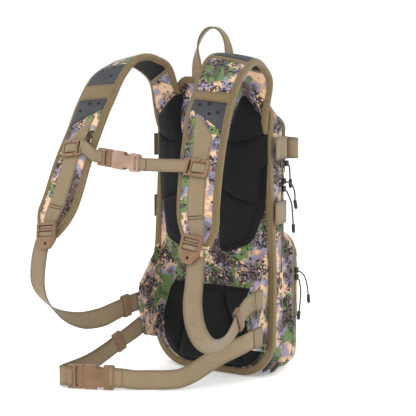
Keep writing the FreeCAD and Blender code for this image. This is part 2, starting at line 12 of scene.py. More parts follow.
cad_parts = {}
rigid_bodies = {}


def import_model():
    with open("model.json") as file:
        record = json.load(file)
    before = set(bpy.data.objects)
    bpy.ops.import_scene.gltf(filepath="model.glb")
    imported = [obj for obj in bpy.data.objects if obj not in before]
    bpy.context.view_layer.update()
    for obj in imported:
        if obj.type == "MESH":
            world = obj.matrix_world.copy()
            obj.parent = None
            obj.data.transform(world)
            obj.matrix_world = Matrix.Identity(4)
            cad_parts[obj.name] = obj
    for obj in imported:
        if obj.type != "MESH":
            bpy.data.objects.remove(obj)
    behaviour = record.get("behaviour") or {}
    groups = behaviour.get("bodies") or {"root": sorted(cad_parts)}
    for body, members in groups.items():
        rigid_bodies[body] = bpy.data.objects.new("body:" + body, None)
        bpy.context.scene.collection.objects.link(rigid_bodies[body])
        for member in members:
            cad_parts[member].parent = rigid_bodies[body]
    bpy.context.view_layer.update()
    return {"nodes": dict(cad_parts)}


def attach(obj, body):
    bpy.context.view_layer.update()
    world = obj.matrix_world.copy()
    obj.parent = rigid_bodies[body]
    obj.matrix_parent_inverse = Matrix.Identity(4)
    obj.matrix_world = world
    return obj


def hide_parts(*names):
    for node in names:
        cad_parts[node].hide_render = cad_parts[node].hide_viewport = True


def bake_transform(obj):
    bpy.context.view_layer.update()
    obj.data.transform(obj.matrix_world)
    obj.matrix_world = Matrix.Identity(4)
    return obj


for leftover in list(bpy.data.objects):
    bpy.data.objects.remove(leftover)
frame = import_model()
mm = 0.001
random.seed(7)
print("frame loaded:", len(frame["nodes"]), "nodes")


def toLinear(hexCode):
    channels = [int(hexCode[i:i + 2], 16) / 255 for i in (1, 3, 5)]
    return [c / 12.92 if c <= 0.04045 else ((c + 0.055) / 1.055) ** 2.4 for c in channels] + [1.0]


# adds a node with its settings (properties, input values, ramp stops) and its links
def addNode(tree, kind, settings=None, links=None):
    node = tree.nodes.new(kind)
    for key, value in (settings or {}).items():
        if key == "stops":
            elements = node.color_ramp.elements
            elements.remove(elements[1])
            for i, (position, tone) in enumerate(value):
                stop = elements[0] if i == 0 else elements.new(position)
                stop.position = position
                stop.color = toLinear(tone) if isinstance(tone, str) else (tone, tone, tone, 1.0)
        elif key == "steps":
            node.color_ramp.interpolation = "CONSTANT"
        elif isinstance(key, str) and key in node.bl_rna.properties:
            setattr(node, key, value)
        else:
            node.inputs[key].default_value = value
    for key, source in (links or {}).items():
        tree.links.new(source.outputs[0] if isinstance(source, bpy.types.Node) else source, node.inputs[key])
    return node


def newMaterial(name, finish):
    material = bpy.data.materials.new(name)
    material.use_nodes = True
    shader = material.node_tree.nodes["Principled BSDF"]
    for key, value in finish.items():
        shader.inputs[key].default_value = value
    return material, material.node_tree, shader


# texture scale that makes one feature this many millimetres
def perFeature(size):
    return 1000.0 / size


# printed polyester canvas: matt, with a broken print of blots, green patches and gathered dark specks; its
# threads are drawn coarser than they are, to show
camoPrint = {"peach": "#DDB898", "sand": "#C09A80", "lavender": "#948DA0", "slate": "#6C6779",
             "green": "#647C48",
             "moss": "#47583A", "brown": "#5A4336", "speck": "#1B1716", "blotSize": 52, "greenSize": 50,
             "crowdSize": 40, "speckSize": 3.4, "netSize": 7.0, "threadSize": 2.4}


def printedCanvas(name="printedCanvas", light=1.0):
    material, tree, shader = newMaterial(name, {"Roughness": 0.86, "IOR": 1.5, "Sheen Weight": 0.1,
                                                "Sheen Roughness": 0.5})
    place = addNode(tree, "ShaderNodeTexCoord").outputs["Object"]
    warp = addNode(tree, "ShaderNodeTexNoise", {"Scale": perFeature(16), "Detail": 3.0}, {"Vector": place})
    push = addNode(tree, "ShaderNodeVectorMath", {"operation": "MULTIPLY_ADD", 1: (0.012, 0.012, 0.008)},
                   {0: warp.outputs["Color"], 2: place})
    blots = addNode(tree, "ShaderNodeTexNoise", {"Scale": perFeature(camoPrint["blotSize"]), "Detail": 3.0,
                                                 "Roughness": 0.5}, {"Vector": push})
    base = addNode(tree, "ShaderNodeValToRGB",
                   {"steps": True, "stops": [(0.0, camoPrint["brown"]), (0.38, camoPrint["slate"]),
                                             (0.42, camoPrint["lavender"]), (0.475, camoPrint["sand"]),
                                             (0.495, camoPrint["peach"]), (0.585, camoPrint["lavender"]),
                                             (0.63, camoPrint["sand"])]}, {"Fac": blots})
    greens = addNode(tree, "ShaderNodeTexNoise", {"Scale": perFeature(camoPrint["greenSize"]), "Detail": 4.0,
                                                  "Roughness": 0.6},
                     {"Vector": addNode(tree, "ShaderNodeMapping", {"Location": (0.31, 0.17, 0.53)},
                                        {"Vector": push})})
    greenTone = addNode(tree, "ShaderNodeValToRGB",
                        {"steps": True, "stops": [(0.0, camoPrint["green"]), (0.62, camoPrint["moss"])]},
                        {"Fac": greens})
    greenMask = addNode(tree, "ShaderNodeMath", {"operation": "GREATER_THAN", 1: 0.545}, {0: greens})
    blotted = addNode(tree, "ShaderNodeMix", {"data_type": "RGBA"}, {0: greenMask, 6: base, 7: greenTone})
    # dark specks and the open net between them, kept where the local crowding is high enough
    cells = addNode(tree, "ShaderNodeTexVoronoi", {"Scale": perFeature(camoPrint["speckSize"])},
                    {"Vector": place})
    chance = addNode(tree, "ShaderNodeSeparateColor", {}, {"Color": cells.outputs["Color"]})
    crowd = addNode(tree, "ShaderNodeTexNoise", {"Scale": perFeature(camoPrint["crowdSize"]), "Detail": 3.0,
                                                 "Roughness": 0.6},
                    {"Vector": addNode(tree, "ShaderNodeMapping", {"Location": (0.7, 0.9, 0.2)},
                                       {"Vector": push})})
    crowding = addNode(tree, "ShaderNodeMapRange",
                       {"From Min": 0.43, "From Max": 0.62, "To Min": 0.0, "To Max": 0.58}, {"Value": crowd})
    speckMask = addNode(tree, "ShaderNodeMath", {"operation": "LESS_THAN"},
                        {0: chance.outputs["Red"], 1: crowding})
    net = addNode(tree, "ShaderNodeTexVoronoi", {"feature": "DISTANCE_TO_EDGE",
                                                 "Scale": perFeature(camoPrint["netSize"])},
                  {"Vector": addNode(tree, "ShaderNodeVectorMath", {"operation": "MULTIPLY_ADD",
                                                                    1: (0.004, 0.004, 0.004)},
                                     {0: warp.outputs["Color"], 2: place})})
    netReach = addNode(tree, "ShaderNodeMapRange",
                       {"From Min": 0.49, "From Max": 0.62, "To Min": 0.0, "To Max": 0.24}, {"Value": crowd})
    netMask = addNode(tree, "ShaderNodeMath", {"operation": "LESS_THAN"},
                      {0: net.outputs["Distance"], 1: netReach})
    darkMask = addNode(tree, "ShaderNodeMath", {"operation": "MAXIMUM"}, {0: speckMask, 1: netMask})
    speckTone = addNode(tree, "ShaderNodeValToRGB",
                        {"steps": True, "stops": [(0.0, camoPrint["speck"]), (0.55, camoPrint["brown"]),
                                                  (0.86, camoPrint["slate"])]},
                        {"Fac": chance.outputs["Green"]})
    specked = addNode(tree, "ShaderNodeMix", {"data_type": "RGBA"},
                      {0: darkMask, 6: blotted.outputs[2], 7: speckTone})
    threads = addNode(tree, "ShaderNodeTexNoise",
                      {"Scale": perFeature(camoPrint["threadSize"]), "Detail": 2.0}, {"Vector": place})
    tone = addNode(tree, "ShaderNodeMapRange", {"From Min": 0.3, "From Max": 0.7, "To Min": 0.80 * light,
                                                "To Max": 1.04 * light}, {"Value": threads})
    printed = addNode(tree, "ShaderNodeMix", {"data_type": "RGBA", "blend_type": "MULTIPLY", 0: 1.0},
                      {6: specked.outputs[2], 7: tone})
    tree.links.new(printed.outputs[2], shader.inputs["Base Color"])
    bump = addNode(tree, "ShaderNodeBump", {"Strength": 0.3, "Distance": 0.0006}, {"Height": threads})
    tree.links.new(bump.outputs[0], shader.inputs["Normal"])
    return material


# woven nylon, ribs across and warp lines along its UV in metres; ribs drawn coarser than they are, to show
def wovenNylon(name, colour, dark, ribPitch=2.6, warpPitch=4.0):
    material, tree, shader = newMaterial(name, {"Roughness": 0.74, "IOR": 1.53, "Sheen Weight": 0.12})
    uv = addNode(tree, "ShaderNodeSeparateXYZ", {},
                 {"Vector": addNode(tree, "ShaderNodeUVMap", {"uv_map": "UVMap"})})
    ribs = addNode(tree, "ShaderNodeMath", {"operation": "SINE"},
                   {0: addNode(tree, "ShaderNodeMath",
                               {"operation": "MULTIPLY", 1: 2 * math.pi * 1000 / ribPitch},
                               {0: uv.outputs["Y"]})})
    warps = addNode(tree, "ShaderNodeMath", {"operation": "SINE"},
                    {0: addNode(tree, "ShaderNodeMath",
                                {"operation": "MULTIPLY", 1: 2 * math.pi * 1000 / warpPitch},
                                {0: uv.outputs["X"]})})
    weave = addNode(tree, "ShaderNodeMath", {"operation": "MULTIPLY"}, {0: ribs, 1: warps})
    wear = addNode(tree, "ShaderNodeTexNoise", {"Scale": perFeature(9), "Detail": 5.0, "Roughness": 0.7},
                   {"Vector": addNode(tree, "ShaderNodeTexCoord").outputs["Object"]})
    even = addNode(tree, "ShaderNodeMath", {"operation": "MULTIPLY_ADD", 1: 0.3, 2: 0.35}, {0: wear})
    mixed = addNode(tree, "ShaderNodeMath", {"operation": "MULTIPLY_ADD", 1: 0.2}, {0: weave, 2: even})
    tone = addNode(tree, "ShaderNodeValToRGB", {"stops": [(0.3, dark), (0.7, colour)]}, {"Fac": mixed})
    # painted shade: a darker band along the edges, where the piece carries one
    selvedge = addNode(tree, "ShaderNodeMath", {"operation": "MULTIPLY", 1: 0.55},
                       {0: addNode(tree, "ShaderNodeAttribute",
                                   {"attribute_name": "selvedge"}).outputs["Fac"]})
    edged = addNode(tree, "ShaderNodeMix", {"data_type": "RGBA", 7: toLinear("#3B2F1E")},
                    {0: selvedge, 6: tone})
    tree.links.new(edged.outputs[2], shader.inputs["Base Color"])
    bump = addNode(tree, "ShaderNodeBump", {"Strength": 0.45, "Distance": 0.0005}, {"Height": mixed})
    tree.links.new(bump.outputs[0], shader.inputs["Normal"])
    return material


# knitted polyester spacer mesh: dark open cells over foam, a soft sheen on the crowns
def knittedMesh():
    material, tree, shader = newMaterial("knittedSpacerMesh", {"Roughness": 0.88, "IOR": 1.4,
                                                               "Sheen Weight": 0.03, "Sheen Roughness": 0.4})
    place = addNode(tree, "ShaderNodeTexCoord").outputs["Object"]
    cells = addNode(tree, "ShaderNodeTexVoronoi", {"Scale": perFeature(3.0)}, {"Vector": place})
    dust = addNode(tree, "ShaderNodeTexNoise", {"Scale": perFeature(70), "Detail": 4.0}, {"Vector": place})
    mixed = addNode(tree, "ShaderNodeMath", {"operation": "MULTIPLY_ADD", 1: 0.3},
                    {0: cells.outputs["Distance"], 2: dust})
    tone = addNode(tree, "ShaderNodeValToRGB", {"stops": [(0.35, "#0D0D0E"), (0.85, "#050505")]},
                   {"Fac": mixed})
    tree.links.new(tone.outputs["Color"], shader.inputs["Base Color"])
    bump = addNode(tree, "ShaderNodeBump", {"Strength": 0.4, "Distance": 0.0006, "invert": True},
                   {"Height": cells.outputs["Distance"]})
    tree.links.new(bump.outputs[0], shader.inputs["Normal"])
    return material


# a moulded, coated or cut finish: two close tones in soft spots, and a fine grain in the surface
def grained(name, finish, dark, light, spotSize, grainSize, grainDepth):
    material, tree, shader = newMaterial(name, finish)
    place = addNode(tree, "ShaderNodeTexCoord").outputs["Object"]
    spots = addNode(tree, "ShaderNodeTexNoise", {"Scale": perFeature(spotSize), "Detail": 4.0},
                    {"Vector": place})
    tone = addNode(tree, "ShaderNodeValToRGB", {"stops": [(0.32, dark), (0.68, light)]}, {"Fac": spots})
    tree.links.new(tone.outputs["Color"], shader.inputs["Base Color"])
    grain = addNode(tree, "ShaderNodeTexNoise", {"Scale": perFeature(grainSize), "Detail": 2.0},
                    {"Vector": place})
    bump = addNode(tree, "ShaderNodeBump", {"Strength": 0.3, "Distance": grainDepth}, {"Height": grain})
    tree.links.new(bump.outputs[0], shader.inputs["Normal"])
    return material


canvas = printedCanvas()
# sun-dulled nylon webbing and tape: fine ribs, painted shade darkening the edges, hardly any shine
webbing = wovenNylon("wovenNylonWebbing", "#917E60", "#6C5B43")
paleWebbing = wovenNylon("wovenNylonBelt", "#9A8769", "#776549")
acetalPale = grained("mouldedAcetalPale",
                     {"Roughness": 0.38, "IOR": 1.48}, "#927562", "#AC8D7B", 30, 1.2, 0.00015)
keeperWebbing = wovenNylon("wovenNylonKeeper", "#86664B", "#664A33")
bindingTape = wovenNylon("grosgrainBinding", "#826E49", "#584728", 2.0, 3.0)
spacerMesh = knittedMesh()
# moulded acetal: a satin tan skin, darker along its edges as painted shade (a painted dark reflection on the
# bevels); the buckle's female half is a paler batch
acetal = grained("mouldedAcetal", {"Roughness": 0.4, "IOR": 1.48}, "#6E5136", "#856547", 30, 1.2, 0.00015)
# painted shade: a darker copy of the acetal for the bevelled edges, standing in for dark reflections
acetalPaintedEdgeShade = grained("mouldedAcetalEdge",
                     {"Roughness": 0.45, "IOR": 1.48}, "#4A301C", "#5C3E26", 30, 1.2, 0.00015)
# matt slate rubber, cut through with holes; the holes and slits are near-black discs and quads of painted shade
rubber = grained("texturedRubber", {"Roughness": 0.6, "IOR": 1.52}, "#222328", "#32333A", 25, 2.0, 0.0004)
# painted shade: a near-black finish for holes and slits, standing in for the shade in their depth
holeShade = grained("punchedHole", {"Roughness": 0.9}, "#040404", "#0B0B0B", 5, 1.0, 0.0001)
# black fittings: a dull sheen on the moulding, a fuzzy braid, a coated tape with a glint of coil
blackNylon = grained("mouldedNylon", {"Roughness": 0.42, "IOR": 1.53}, "#131313", "#202020", 12, 1.2, 0.0001)
braid = grained("braidedCord", {"Roughness": 0.75, "Sheen Weight": 0.2}, "#08090A", "#1A1C1F", 3, 1.6, 0.0006)
zipTape = grained("coatedZipTape", {"Roughness": 0.55}, "#5D5440", "#7C7257", 18, 1.5, 0.0003)
# waxed thread, standing a little proud of what it sews
bondedThread = grained("bondedThread", {"Roughness": 0.7}, "#43371D", "#5F4F2D", 4, 1.0, 0.0001)
darkThread = grained("bondedThreadBlack", {"Roughness": 0.7}, "#0B0B0C", "#19191A", 4, 1.0, 0.0001)
zipCoil = wovenNylon("extrudedZipCoil", "#4A4636", "#16150F", 2.2, 60.0)
# inside the pack: a smooth pale sheet and a dull lining
hdpeSheet = grained("pressedPolyethylene",
                    {"Roughness": 0.5, "IOR": 1.54}, "#D6D5CE", "#E9E8E2", 40, 2.0, 0.0001)
taffeta = grained("wovenTaffeta", {"Roughness": 0.8}, "#48484A", "#5A5A58", 20, 1.5, 0.0002)
print("materials made")


# smooth curve through rows of numbers, perRun samples to each run
def smoothThrough(points, perRun):
    p = np.array(points, float)
    ends = np.vstack([2 * p[0] - p[1], p, 2 * p[-1] - p[-2]])
    t = np.linspace(0, 1, perRun, endpoint=False)[:, None]
    runs = []
    for i in range(len(p) - 1):
        a, b, c, d = ends[i:i + 4]
        runs.append(0.5 * (2 * b + (c - a) * t + (2 * a - 5 * b + 4 * c - d) * t ** 2
                           + (3 * b - a - 3 * c + d) * t ** 3))
    return np.vstack(runs + [p[-1:]])


def unit(v):
    v = np.asarray(v, float)
    return v / np.maximum(np.linalg.norm(v, axis=-1, keepdims=True), 1e-12)


def runLengths(points):
    return np.concatenate([[0], np.cumsum(np.linalg.norm(np.diff(points, axis=0), axis=1))])


# verts in millimetres
def addMesh(name, verts, faces, materials, uvs=None, faceMaterials=None):
    mesh = bpy.data.meshes.new(name)
    mesh.from_pydata((np.asarray(verts, float) * mm).tolist(), [], [tuple(f) for f in faces])
    for material in (materials if isinstance(materials, list) else [materials]):
        mesh.materials.append(material)
    if uvs is not None:
        layer = mesh.uv_layers.new(name="UVMap")
        corners = np.zeros(len(mesh.loops), np.int32)
        mesh.loops.foreach_get("vertex_index", corners)
        layer.data.foreach_set("uv", (np.asarray(uvs, np.float32) * mm)[corners].ravel())
    if faceMaterials is not None:
        mesh.polygons.foreach_set("material_index", faceMaterials)
    tidy = bmesh.new()
    tidy.from_mesh(mesh)
    bmesh.ops.recalc_face_normals(tidy, faces=tidy.faces)
    tidy.to_mesh(mesh)
    tidy.free()
    mesh.polygons.foreach_set("use_smooth", [True] * len(mesh.polygons))
    mesh.validate()
    piece = bpy.data.objects.new(name, mesh)
    bpy.context.scene.collection.objects.link(piece)
    return piece


def place(piece, body, slotName, *replaced):
    if replaced:
        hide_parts(*replaced)
    if body:
        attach(piece, body)
    return piece


# faces of a tube of rows, each row one closed loop of points
def tubeFaces(rows, around, joined=False):
    faces = []
    for i in range(rows if joined else rows - 1):
        for j in range(around):
            k, n = (j + 1) % around, (i + 1) % rows
            faces.append((i * around + j, i * around + k, n * around + k, n * around + j))
    if not joined:
        faces.append(tuple(range(around)))
        faces.append(tuple((rows - 1) * around + j for j in range(around)))
    return faces


def applyModifier(piece, modifier):
    bpy.context.view_layer.objects.active = piece
    with bpy.context.temp_override(object=piece, active_object=piece, selected_objects=[piece]):
        bpy.ops.object.modifier_apply(modifier=modifier.name)


def meshPoints(piece):
    points = np.zeros(len(piece.data.vertices) * 3)
    piece.data.vertices.foreach_get("co", points)
    return points.reshape(-1, 3) / mm


def movePoints(piece, points):
    piece.data.vertices.foreach_set("co", (points * mm).ravel())
    piece.data.update()


def meshNormals(piece):
    normals = np.zeros(len(piece.data.vertices) * 3)
    piece.data.vertices.foreach_get("normal", normals)
    return normals.reshape(-1, 3)


# closed outline with rounded corners from (u, v, radius), evenly resampled
def roundedOutline(corners, count=160):
    path = []
    for i, (u, v, r) in enumerate(corners):
        corner = np.array([u, v], float)
        before = unit(np.array(corners[i - 1][:2]) - corner)
        after = unit(np.array(corners[(i + 1) % len(corners)][:2]) - corner)
        half = math.acos(max(-1, min(1, float(before @ after)))) / 2
        centre = corner + unit(before + after) * r / math.sin(half)
        a, b = corner + before * r / math.tan(half), corner + after * r / math.tan(half)
        a0, b0 = math.atan2(*(a - centre)[::-1]), math.atan2(*(b - centre)[::-1])
        turn = (b0 - a0 + math.pi) % (2 * math.pi) - math.pi
        path += [centre + r * np.array([math.cos(a0 + turn * t), math.sin(a0 + turn * t)])
                 for t in np.linspace(0, 1, 9)]
    path = np.array(path + [path[0]])
    lengths = runLengths(path)
    even = np.linspace(0, lengths[-1], count, endpoint=False)
    return np.column_stack([np.interp(even, lengths, path[:, k]) for k in (0, 1)])


def outwardOf(outline):
    along = unit(np.roll(outline, -1, axis=0) - np.roll(outline, 1, axis=0))
    return np.column_stack([along[:, 1], -along[:, 0]])


def distanceTo(points, line, closed=False):
    line = np.asarray(line, float)
    following = np.roll(line, -1, axis=0) if closed else line[1:]
    starts = line if closed else line[:-1]
    best = np.full(len(points), 1e9)
    for a, b in zip(starts, following):
        run = b - a
        t = np.clip(((points - a) @ run) / max(run @ run, 1e-9), 0, 1)
        best = np.minimum(best, np.linalg.norm(points - a - t[:, None] * run, axis=1))
    return best


def mirrorCorners(corners):
    return corners + [(-u, v, r) for u, v, r in reversed(corners)]


def mirrorX(points):
    return np.asarray(points, float) * [-1, 1, 1]


def remesh(piece, size):
    modifier = piece.modifiers.new("remesh", "REMESH")
    modifier.mode = "VOXEL"
    modifier.voxel_size = size * mm
    modifier.use_smooth_shade = True
    applyModifier(piece, modifier)


# swells a closed piece with cloth under pressure, then limits how far each point has gone
def inflate(piece, pressure, cap, keep=None):
    before, normals = meshPoints(piece), meshNormals(piece)
    scene = bpy.context.scene
    cloth = piece.modifiers.new("cloth", "CLOTH")
    cloth.settings.quality = 4
    cloth.settings.use_pressure = True
    cloth.settings.uniform_pressure_force = pressure
    cloth.settings.effector_weights.gravity = 0
    cloth.point_cache.frame_start = 1
    cloth.point_cache.frame_end = 20
    for step in range(1, 21):
        scene.frame_set(step)
    applyModifier(piece, cloth)
    scene.frame_set(1)
    moved = meshPoints(piece) - before
    far = np.linalg.norm(moved, axis=1, keepdims=True)
    moved *= np.minimum(1, cap / np.maximum(far, 1e-6))
    # the same swell on average as without the simulation, and nowhere sunk in
    swell = np.sum(moved * normals, axis=1)
    wanted = np.maximum(swell + cap * 0.6 - np.mean(swell), cap * 0.4)
    movePoints(piece, before + moved + normals * (wanted - swell)[:, None])
    if keep:
        movePoints(piece, keep(meshPoints(piece)))


def subdivide(piece, levels=1):
    modifier = piece.modifiers.new("subdivide", "SUBSURF")
    modifier.levels = modifier.render_levels = levels
    applyModifier(piece, modifier)


def surfaceOf(piece):
    return BVHTree.FromPolygons([v.co.copy() for v in piece.data.vertices],
                                [tuple(p.vertices) for p in piece.data.polygons])


# the surface point met from outside along a direction, in millimetres, with its normal
def meet(surface, point, direction, reach=40):
    start = Vector(point) * mm + Vector(direction).normalized() * reach * mm
    hit, normal, index, far = surface.ray_cast(start, -Vector(direction).normalized())
    if hit is None:
        hit, normal, index, far = surface.find_nearest(Vector(point) * mm)
    if normal.dot(Vector(direction)) < 0:
        normal = -normal
    return np.array(hit) / mm, np.array(normal)


# flat webbing's cross-section: shares of its half width and half thickness
flatSection = [(-1, 0), (-0.985, 0.7), (-0.93, 1), (-0.6, 1), (-0.2, 1), (0.2, 1), (0.6, 1), (0.93, 1),
               (0.985, 0.7), (1, 0), (0.985, -0.7), (0.93, -1), (0.6, -1), (0.2, -1), (-0.2, -1), (-0.6, -1),
               (-0.93, -1), (-0.985, -0.7)]


# flat webbing through (centre, across) stations, smoothed; widths is (shares along, width factors)
def layWebbing(name, route, wide, thick, material, perRun=8, widths=None, joined=False, ripple=0.0):
    route = list(route) + ([route[0]] if joined else [])
    centres = smoothThrough([c for c, a in route], perRun)
    acrosses = smoothThrough([unit(a) for c, a in route], perRun)
    tangents = unit(np.gradient(centres, axis=0))
    if joined:
        tangents[0] = tangents[-1] = unit(tangents[0] + tangents[-1])
    acrosses = unit(acrosses - tangents * np.sum(acrosses * tangents, axis=1, keepdims=True))
    normals = np.cross(tangents, acrosses)
    lengths = runLengths(centres)
    if ripple:
        centres = centres + normals * np.array([[ripple * noise(Vector((s * 0.03, 3.1, 0.7)))]
                                                for s in lengths])
    rows = len(centres) - (1 if joined else 0)
    verts, uvs = [], []
    for i in range(rows):
        half = wide / 2 * (1 if widths is None else np.interp(i / (rows - 1), *widths))
        for u, h in flatSection:
            verts.append(centres[i] + acrosses[i] * half * u + normals[i] * h * thick / 2)
            uvs.append((half * u, lengths[i]))
    piece = addMesh(name, verts, tubeFaces(rows, len(flatSection), joined), material, uvs)
    # painted shade: a mask that darkens the webbing towards both its edges
    edge = piece.data.attributes.new("selvedge", "FLOAT", "POINT")
    edge.data.foreach_set("value", [max(0.0, (abs(u) - 0.6) / 0.385) ** 2 for u, h in flatSection] * rows)
    return piece


# a short webbing bent round hardware: steps are (run, height) taken by the function at
def layBand(name, at, across, steps, wide, thick, material, body):
    route = [(at(run, high), across) for run, high in steps]
    return place(layWebbing(name, route, wide, thick, material, 5), body, "webbing")


# stitches gathered here become one piece at the end
stitchRuns = {"tan": [], "black": []}


def sew(points, normals, thread="tan", pitch=5.6, long=3.5, wide=1.5, high=0.6):
    points, normals = np.asarray(points, float), np.asarray(normals, float)
    lengths = runLengths(points)
    for s in np.arange(pitch / 2, lengths[-1] - long, pitch):
        ends = [np.array([np.interp(s + d, lengths, points[:, k]) for k in range(3)]) for d in (0, long)]
        up = unit([np.interp(s, lengths, normals[:, k]) for k in range(3)])
        side = unit(np.cross(ends[1] - ends[0], up)) * wide / 2
        middle = (ends[0] + ends[1]) / 2
        stitchRuns[thread].append([ends[0] - up * 0.1, middle + side, ends[1] - up * 0.1, middle - side,
                                   middle + up * high])


# a hard CAD part's shape with its edges broken, standing in for the node
def brokenEdges(nodeName, body, slotName, material, radius=0.6, segments=2, angle=30, edgeMaterial=None):
    source = frame["nodes"][nodeName]
    mesh = source.data.copy()
    mesh.materials.clear()
    mesh.materials.append(material)
    mesh.materials.append(edgeMaterial or material)
    piece = bpy.data.objects.new(nodeName + "Finished", mesh)
    bpy.context.scene.collection.objects.link(piece)
    work = bmesh.new()
    work.from_mesh(mesh)
    bmesh.ops.remove_doubles(work, verts=work.verts, dist=0.00002)
    bmesh.ops.dissolve_limit(work, angle_limit=math.radians(4), verts=work.verts, edges=work.edges)
    work.to_mesh(mesh)
    work.free()
    bevel = piece.modifiers.new("bevel", "BEVEL")
    bevel.width = radius * mm
    bevel.segments = segments
    bevel.limit_method = "ANGLE"
    bevel.angle_limit = math.radians(angle)
    bevel.use_clamp_overlap = True
    # the bevel faces take the edge material; for the acetal parts that material is painted edge shade
    bevel.material = 1 if edgeMaterial else -1
    bevel.harden_normals = False
    applyModifier(piece, bevel)
    mesh.polygons.foreach_set("use_smooth", [True] * len(mesh.polygons))
    mesh.set_sharp_from_angle(angle=math.radians(35))
    return place(piece, body, slotName, nodeName)


# camera, lights and floor
view = {"azimuth": 35.0, "elevation": 6.0, "distance": 2.2, "target": (-0.010, 0.0, 0.280), "lens": 112.0}
camera = bpy.data.objects.new("camera", bpy.data.cameras.new("camera"))
bpy.context.scene.collection.objects.link(camera)
turn, tilt = math.radians(view["azimuth"]), math.radians(view["elevation"])
back = Vector((math.sin(turn) * math.cos(tilt), -math.cos(turn) * math.cos(tilt), math.sin(tilt)))
camera.location = Vector(view["target"]) + back * view["distance"]
camera.rotation_euler = back.to_track_quat("Z", "Y").to_euler()
camera.data.lens = view["lens"]
camera.data.sensor_width = 36.0
bpy.context.scene.camera = camera

studio = {"world": "#FFFFFF", "worldStrength": 1.0, "floor": "#FBFBFA", "floorGlow": 0.22}
world = bpy.data.worlds.new("studio")
bpy.context.scene.world = world
world.use_nodes = True
sky = world.node_tree.nodes["Background"]
sky.inputs["Color"].default_value = toLinear(studio["world"])
sky.inputs["Strength"].default_value = studio["worldStrength"]
bpy.context.scene.view_settings.view_transform = "Standard"

lamps = {"key": ((1.5, -1.6, 2.0), 26, 1.6), "fill": ((-1.9, -1.3, 1.2), 12, 1.8),
         "rim": ((0.6, 2.0, 1.6), 12, 1.6)}
for lampName, (spot, power, size) in lamps.items():
    lamp = bpy.data.objects.new(lampName, bpy.data.lights.new(lampName, "AREA"))
    bpy.context.scene.collection.objects.link(lamp)
    lamp.location = spot
    lamp.rotation_euler = (Vector(spot) - Vector((0, 0, 0.28))).to_track_quat("Z", "Y").to_euler()
    lamp.data.energy = power
    lamp.data.size = size

floorMesh = bpy.data.meshes.new("floor")
floorMesh.from_pydata([(-8, -8, -0.001), (8, -8, -0.001), (8, 8, -0.001), (-8, 8, -0.001)], [],
                      [(0, 1, 2, 3)])
floor = bpy.data.objects.new("floor", floorMesh)
bpy.context.scene.collection.objects.link(floor)
floorMesh.materials.append(grained("paintedFloor", {"Roughness": 0.9}, studio["floor"], "#FFFFFF", 900,
                                   50, 0.0001))
floorShader = floorMesh.materials[0].node_tree.nodes["Principled BSDF"]
floorShader.inputs["Emission Color"].default_value = toLinear(studio["floor"])
floorShader.inputs["Emission Strength"].default_value = studio["floorGlow"]
print("camera and lights made")

# zipper pull cords: braided polyester, limp, each with a knotted heat-shrunk end
pulls = {
    "pull_cord_upper": {"length": 39.2, "body": "upper_slider",
                        "route": [(102, 79, 354), (103.5, 79.5, 345), (103.5, 80, 335), (104, 81, 325),
                                  (103.5, 82, 315)]},
    "pull_cord_main_short": {"length": 60.7, "body": "main_slider_upper",
                             "route": [(118.2, 44, 328), (120, 54, 326), (121, 63, 318), (120.5, 69, 306),
                                       (120, 70, 293), (120.5, 73, 281)]},
    "pull_cord_main_long": {"length": 76.1, "body": "main_slider_lower",
                            "route": [(118.2, 45, 313), (121.5, 50, 302), (122.5, 56, 289), (122, 59, 272),
                                      (121, 63, 257), (119.5, 67, 241)]},
    "pull_cord_lower_back": {"length": 71.1, "body": "lower_slider_lower",
                             "route": [(113.6, 95, 157), (115, 98, 145), (115, 100, 131), (114, 99.5, 116),
                                       (113.5, 97, 101), (114, 94, 87)]},
    "pull_cord_lower_front": {"length": 71.0, "body": "lower_slider_upper",
                              "route": [(113.6, 97, 170), (115.5, 106, 165), (115.5, 115, 155),
                                        (114.5, 122, 142),
                                        (113, 128, 127), (112.5, 131, 111)]}}
cordRadius = 1.3
for nodeName, pull in pulls.items():
    line = bpy.data.curves.new(nodeName + "Braid", "CURVE")
    line.dimensions = "3D"
    spline = line.splines.new("NURBS")
    spline.points.add(len(pull["route"]) - 1)
    for point, spot in zip(spline.points, pull["route"]):
        point.co = (*[c * mm for c in spot], 1.0)
    spline.order_u = 3
    spline.use_endpoint_u = True
    spline.resolution_u = 12
    line.bevel_depth = cordRadius * mm
    line.bevel_resolution = 4
    line.use_fill_caps = True
    line.materials.append(braid)
    cord = bpy.data.objects.new(nodeName + "Braid", line)
    bpy.context.scene.collection.objects.link(cord)
    # the end: the doubled cord's knot under a shrunk sleeve, along the last run
    last, before = np.array(pull["route"][-1], float), np.array(pull["route"][-2], float)
    run = unit(last - before)
    side = unit(np.cross(run, [0, 1, 0.2]))
    other = np.cross(run, side)
    profile = [(-15, 1.5), (-14.2, 2.6), (-12, 3.3), (-10, 2.7), (-8.5, 3.0), (-5, 3.1), (-2, 2.9),
               (0, 2.5), (0.8, 1.4)]
    rows = [[last + run * (s + 0.2) + (side * math.cos(a) + other * math.sin(a)) * r
             for a in np.linspace(0, 2 * math.pi, 16, endpoint=False)] for s, r in profile]
    knot = addMesh(nodeName + "Sleeve", np.array(rows).reshape(-1, 3), tubeFaces(len(rows), 16), blackNylon)
    place(knot, pull["body"], "black_cord")
    place(cord, pull["body"], "black_cord", nodeName)
    [c * mm for c in pull["route"][0]]
print("pull cords made:", len(pulls))

# compartments: printed canvas bags, lofted through upright outlines, swollen and creased
def bagOutline(half, base, baseRound, top):
    return mirrorCorners([(half, base, baseRound), (half, top - 50, 12), (half - 52, top, 12)])


def pocketOutline(half, base, top, radius):
    return mirrorCorners([(half, base, radius), (half, top, radius)])


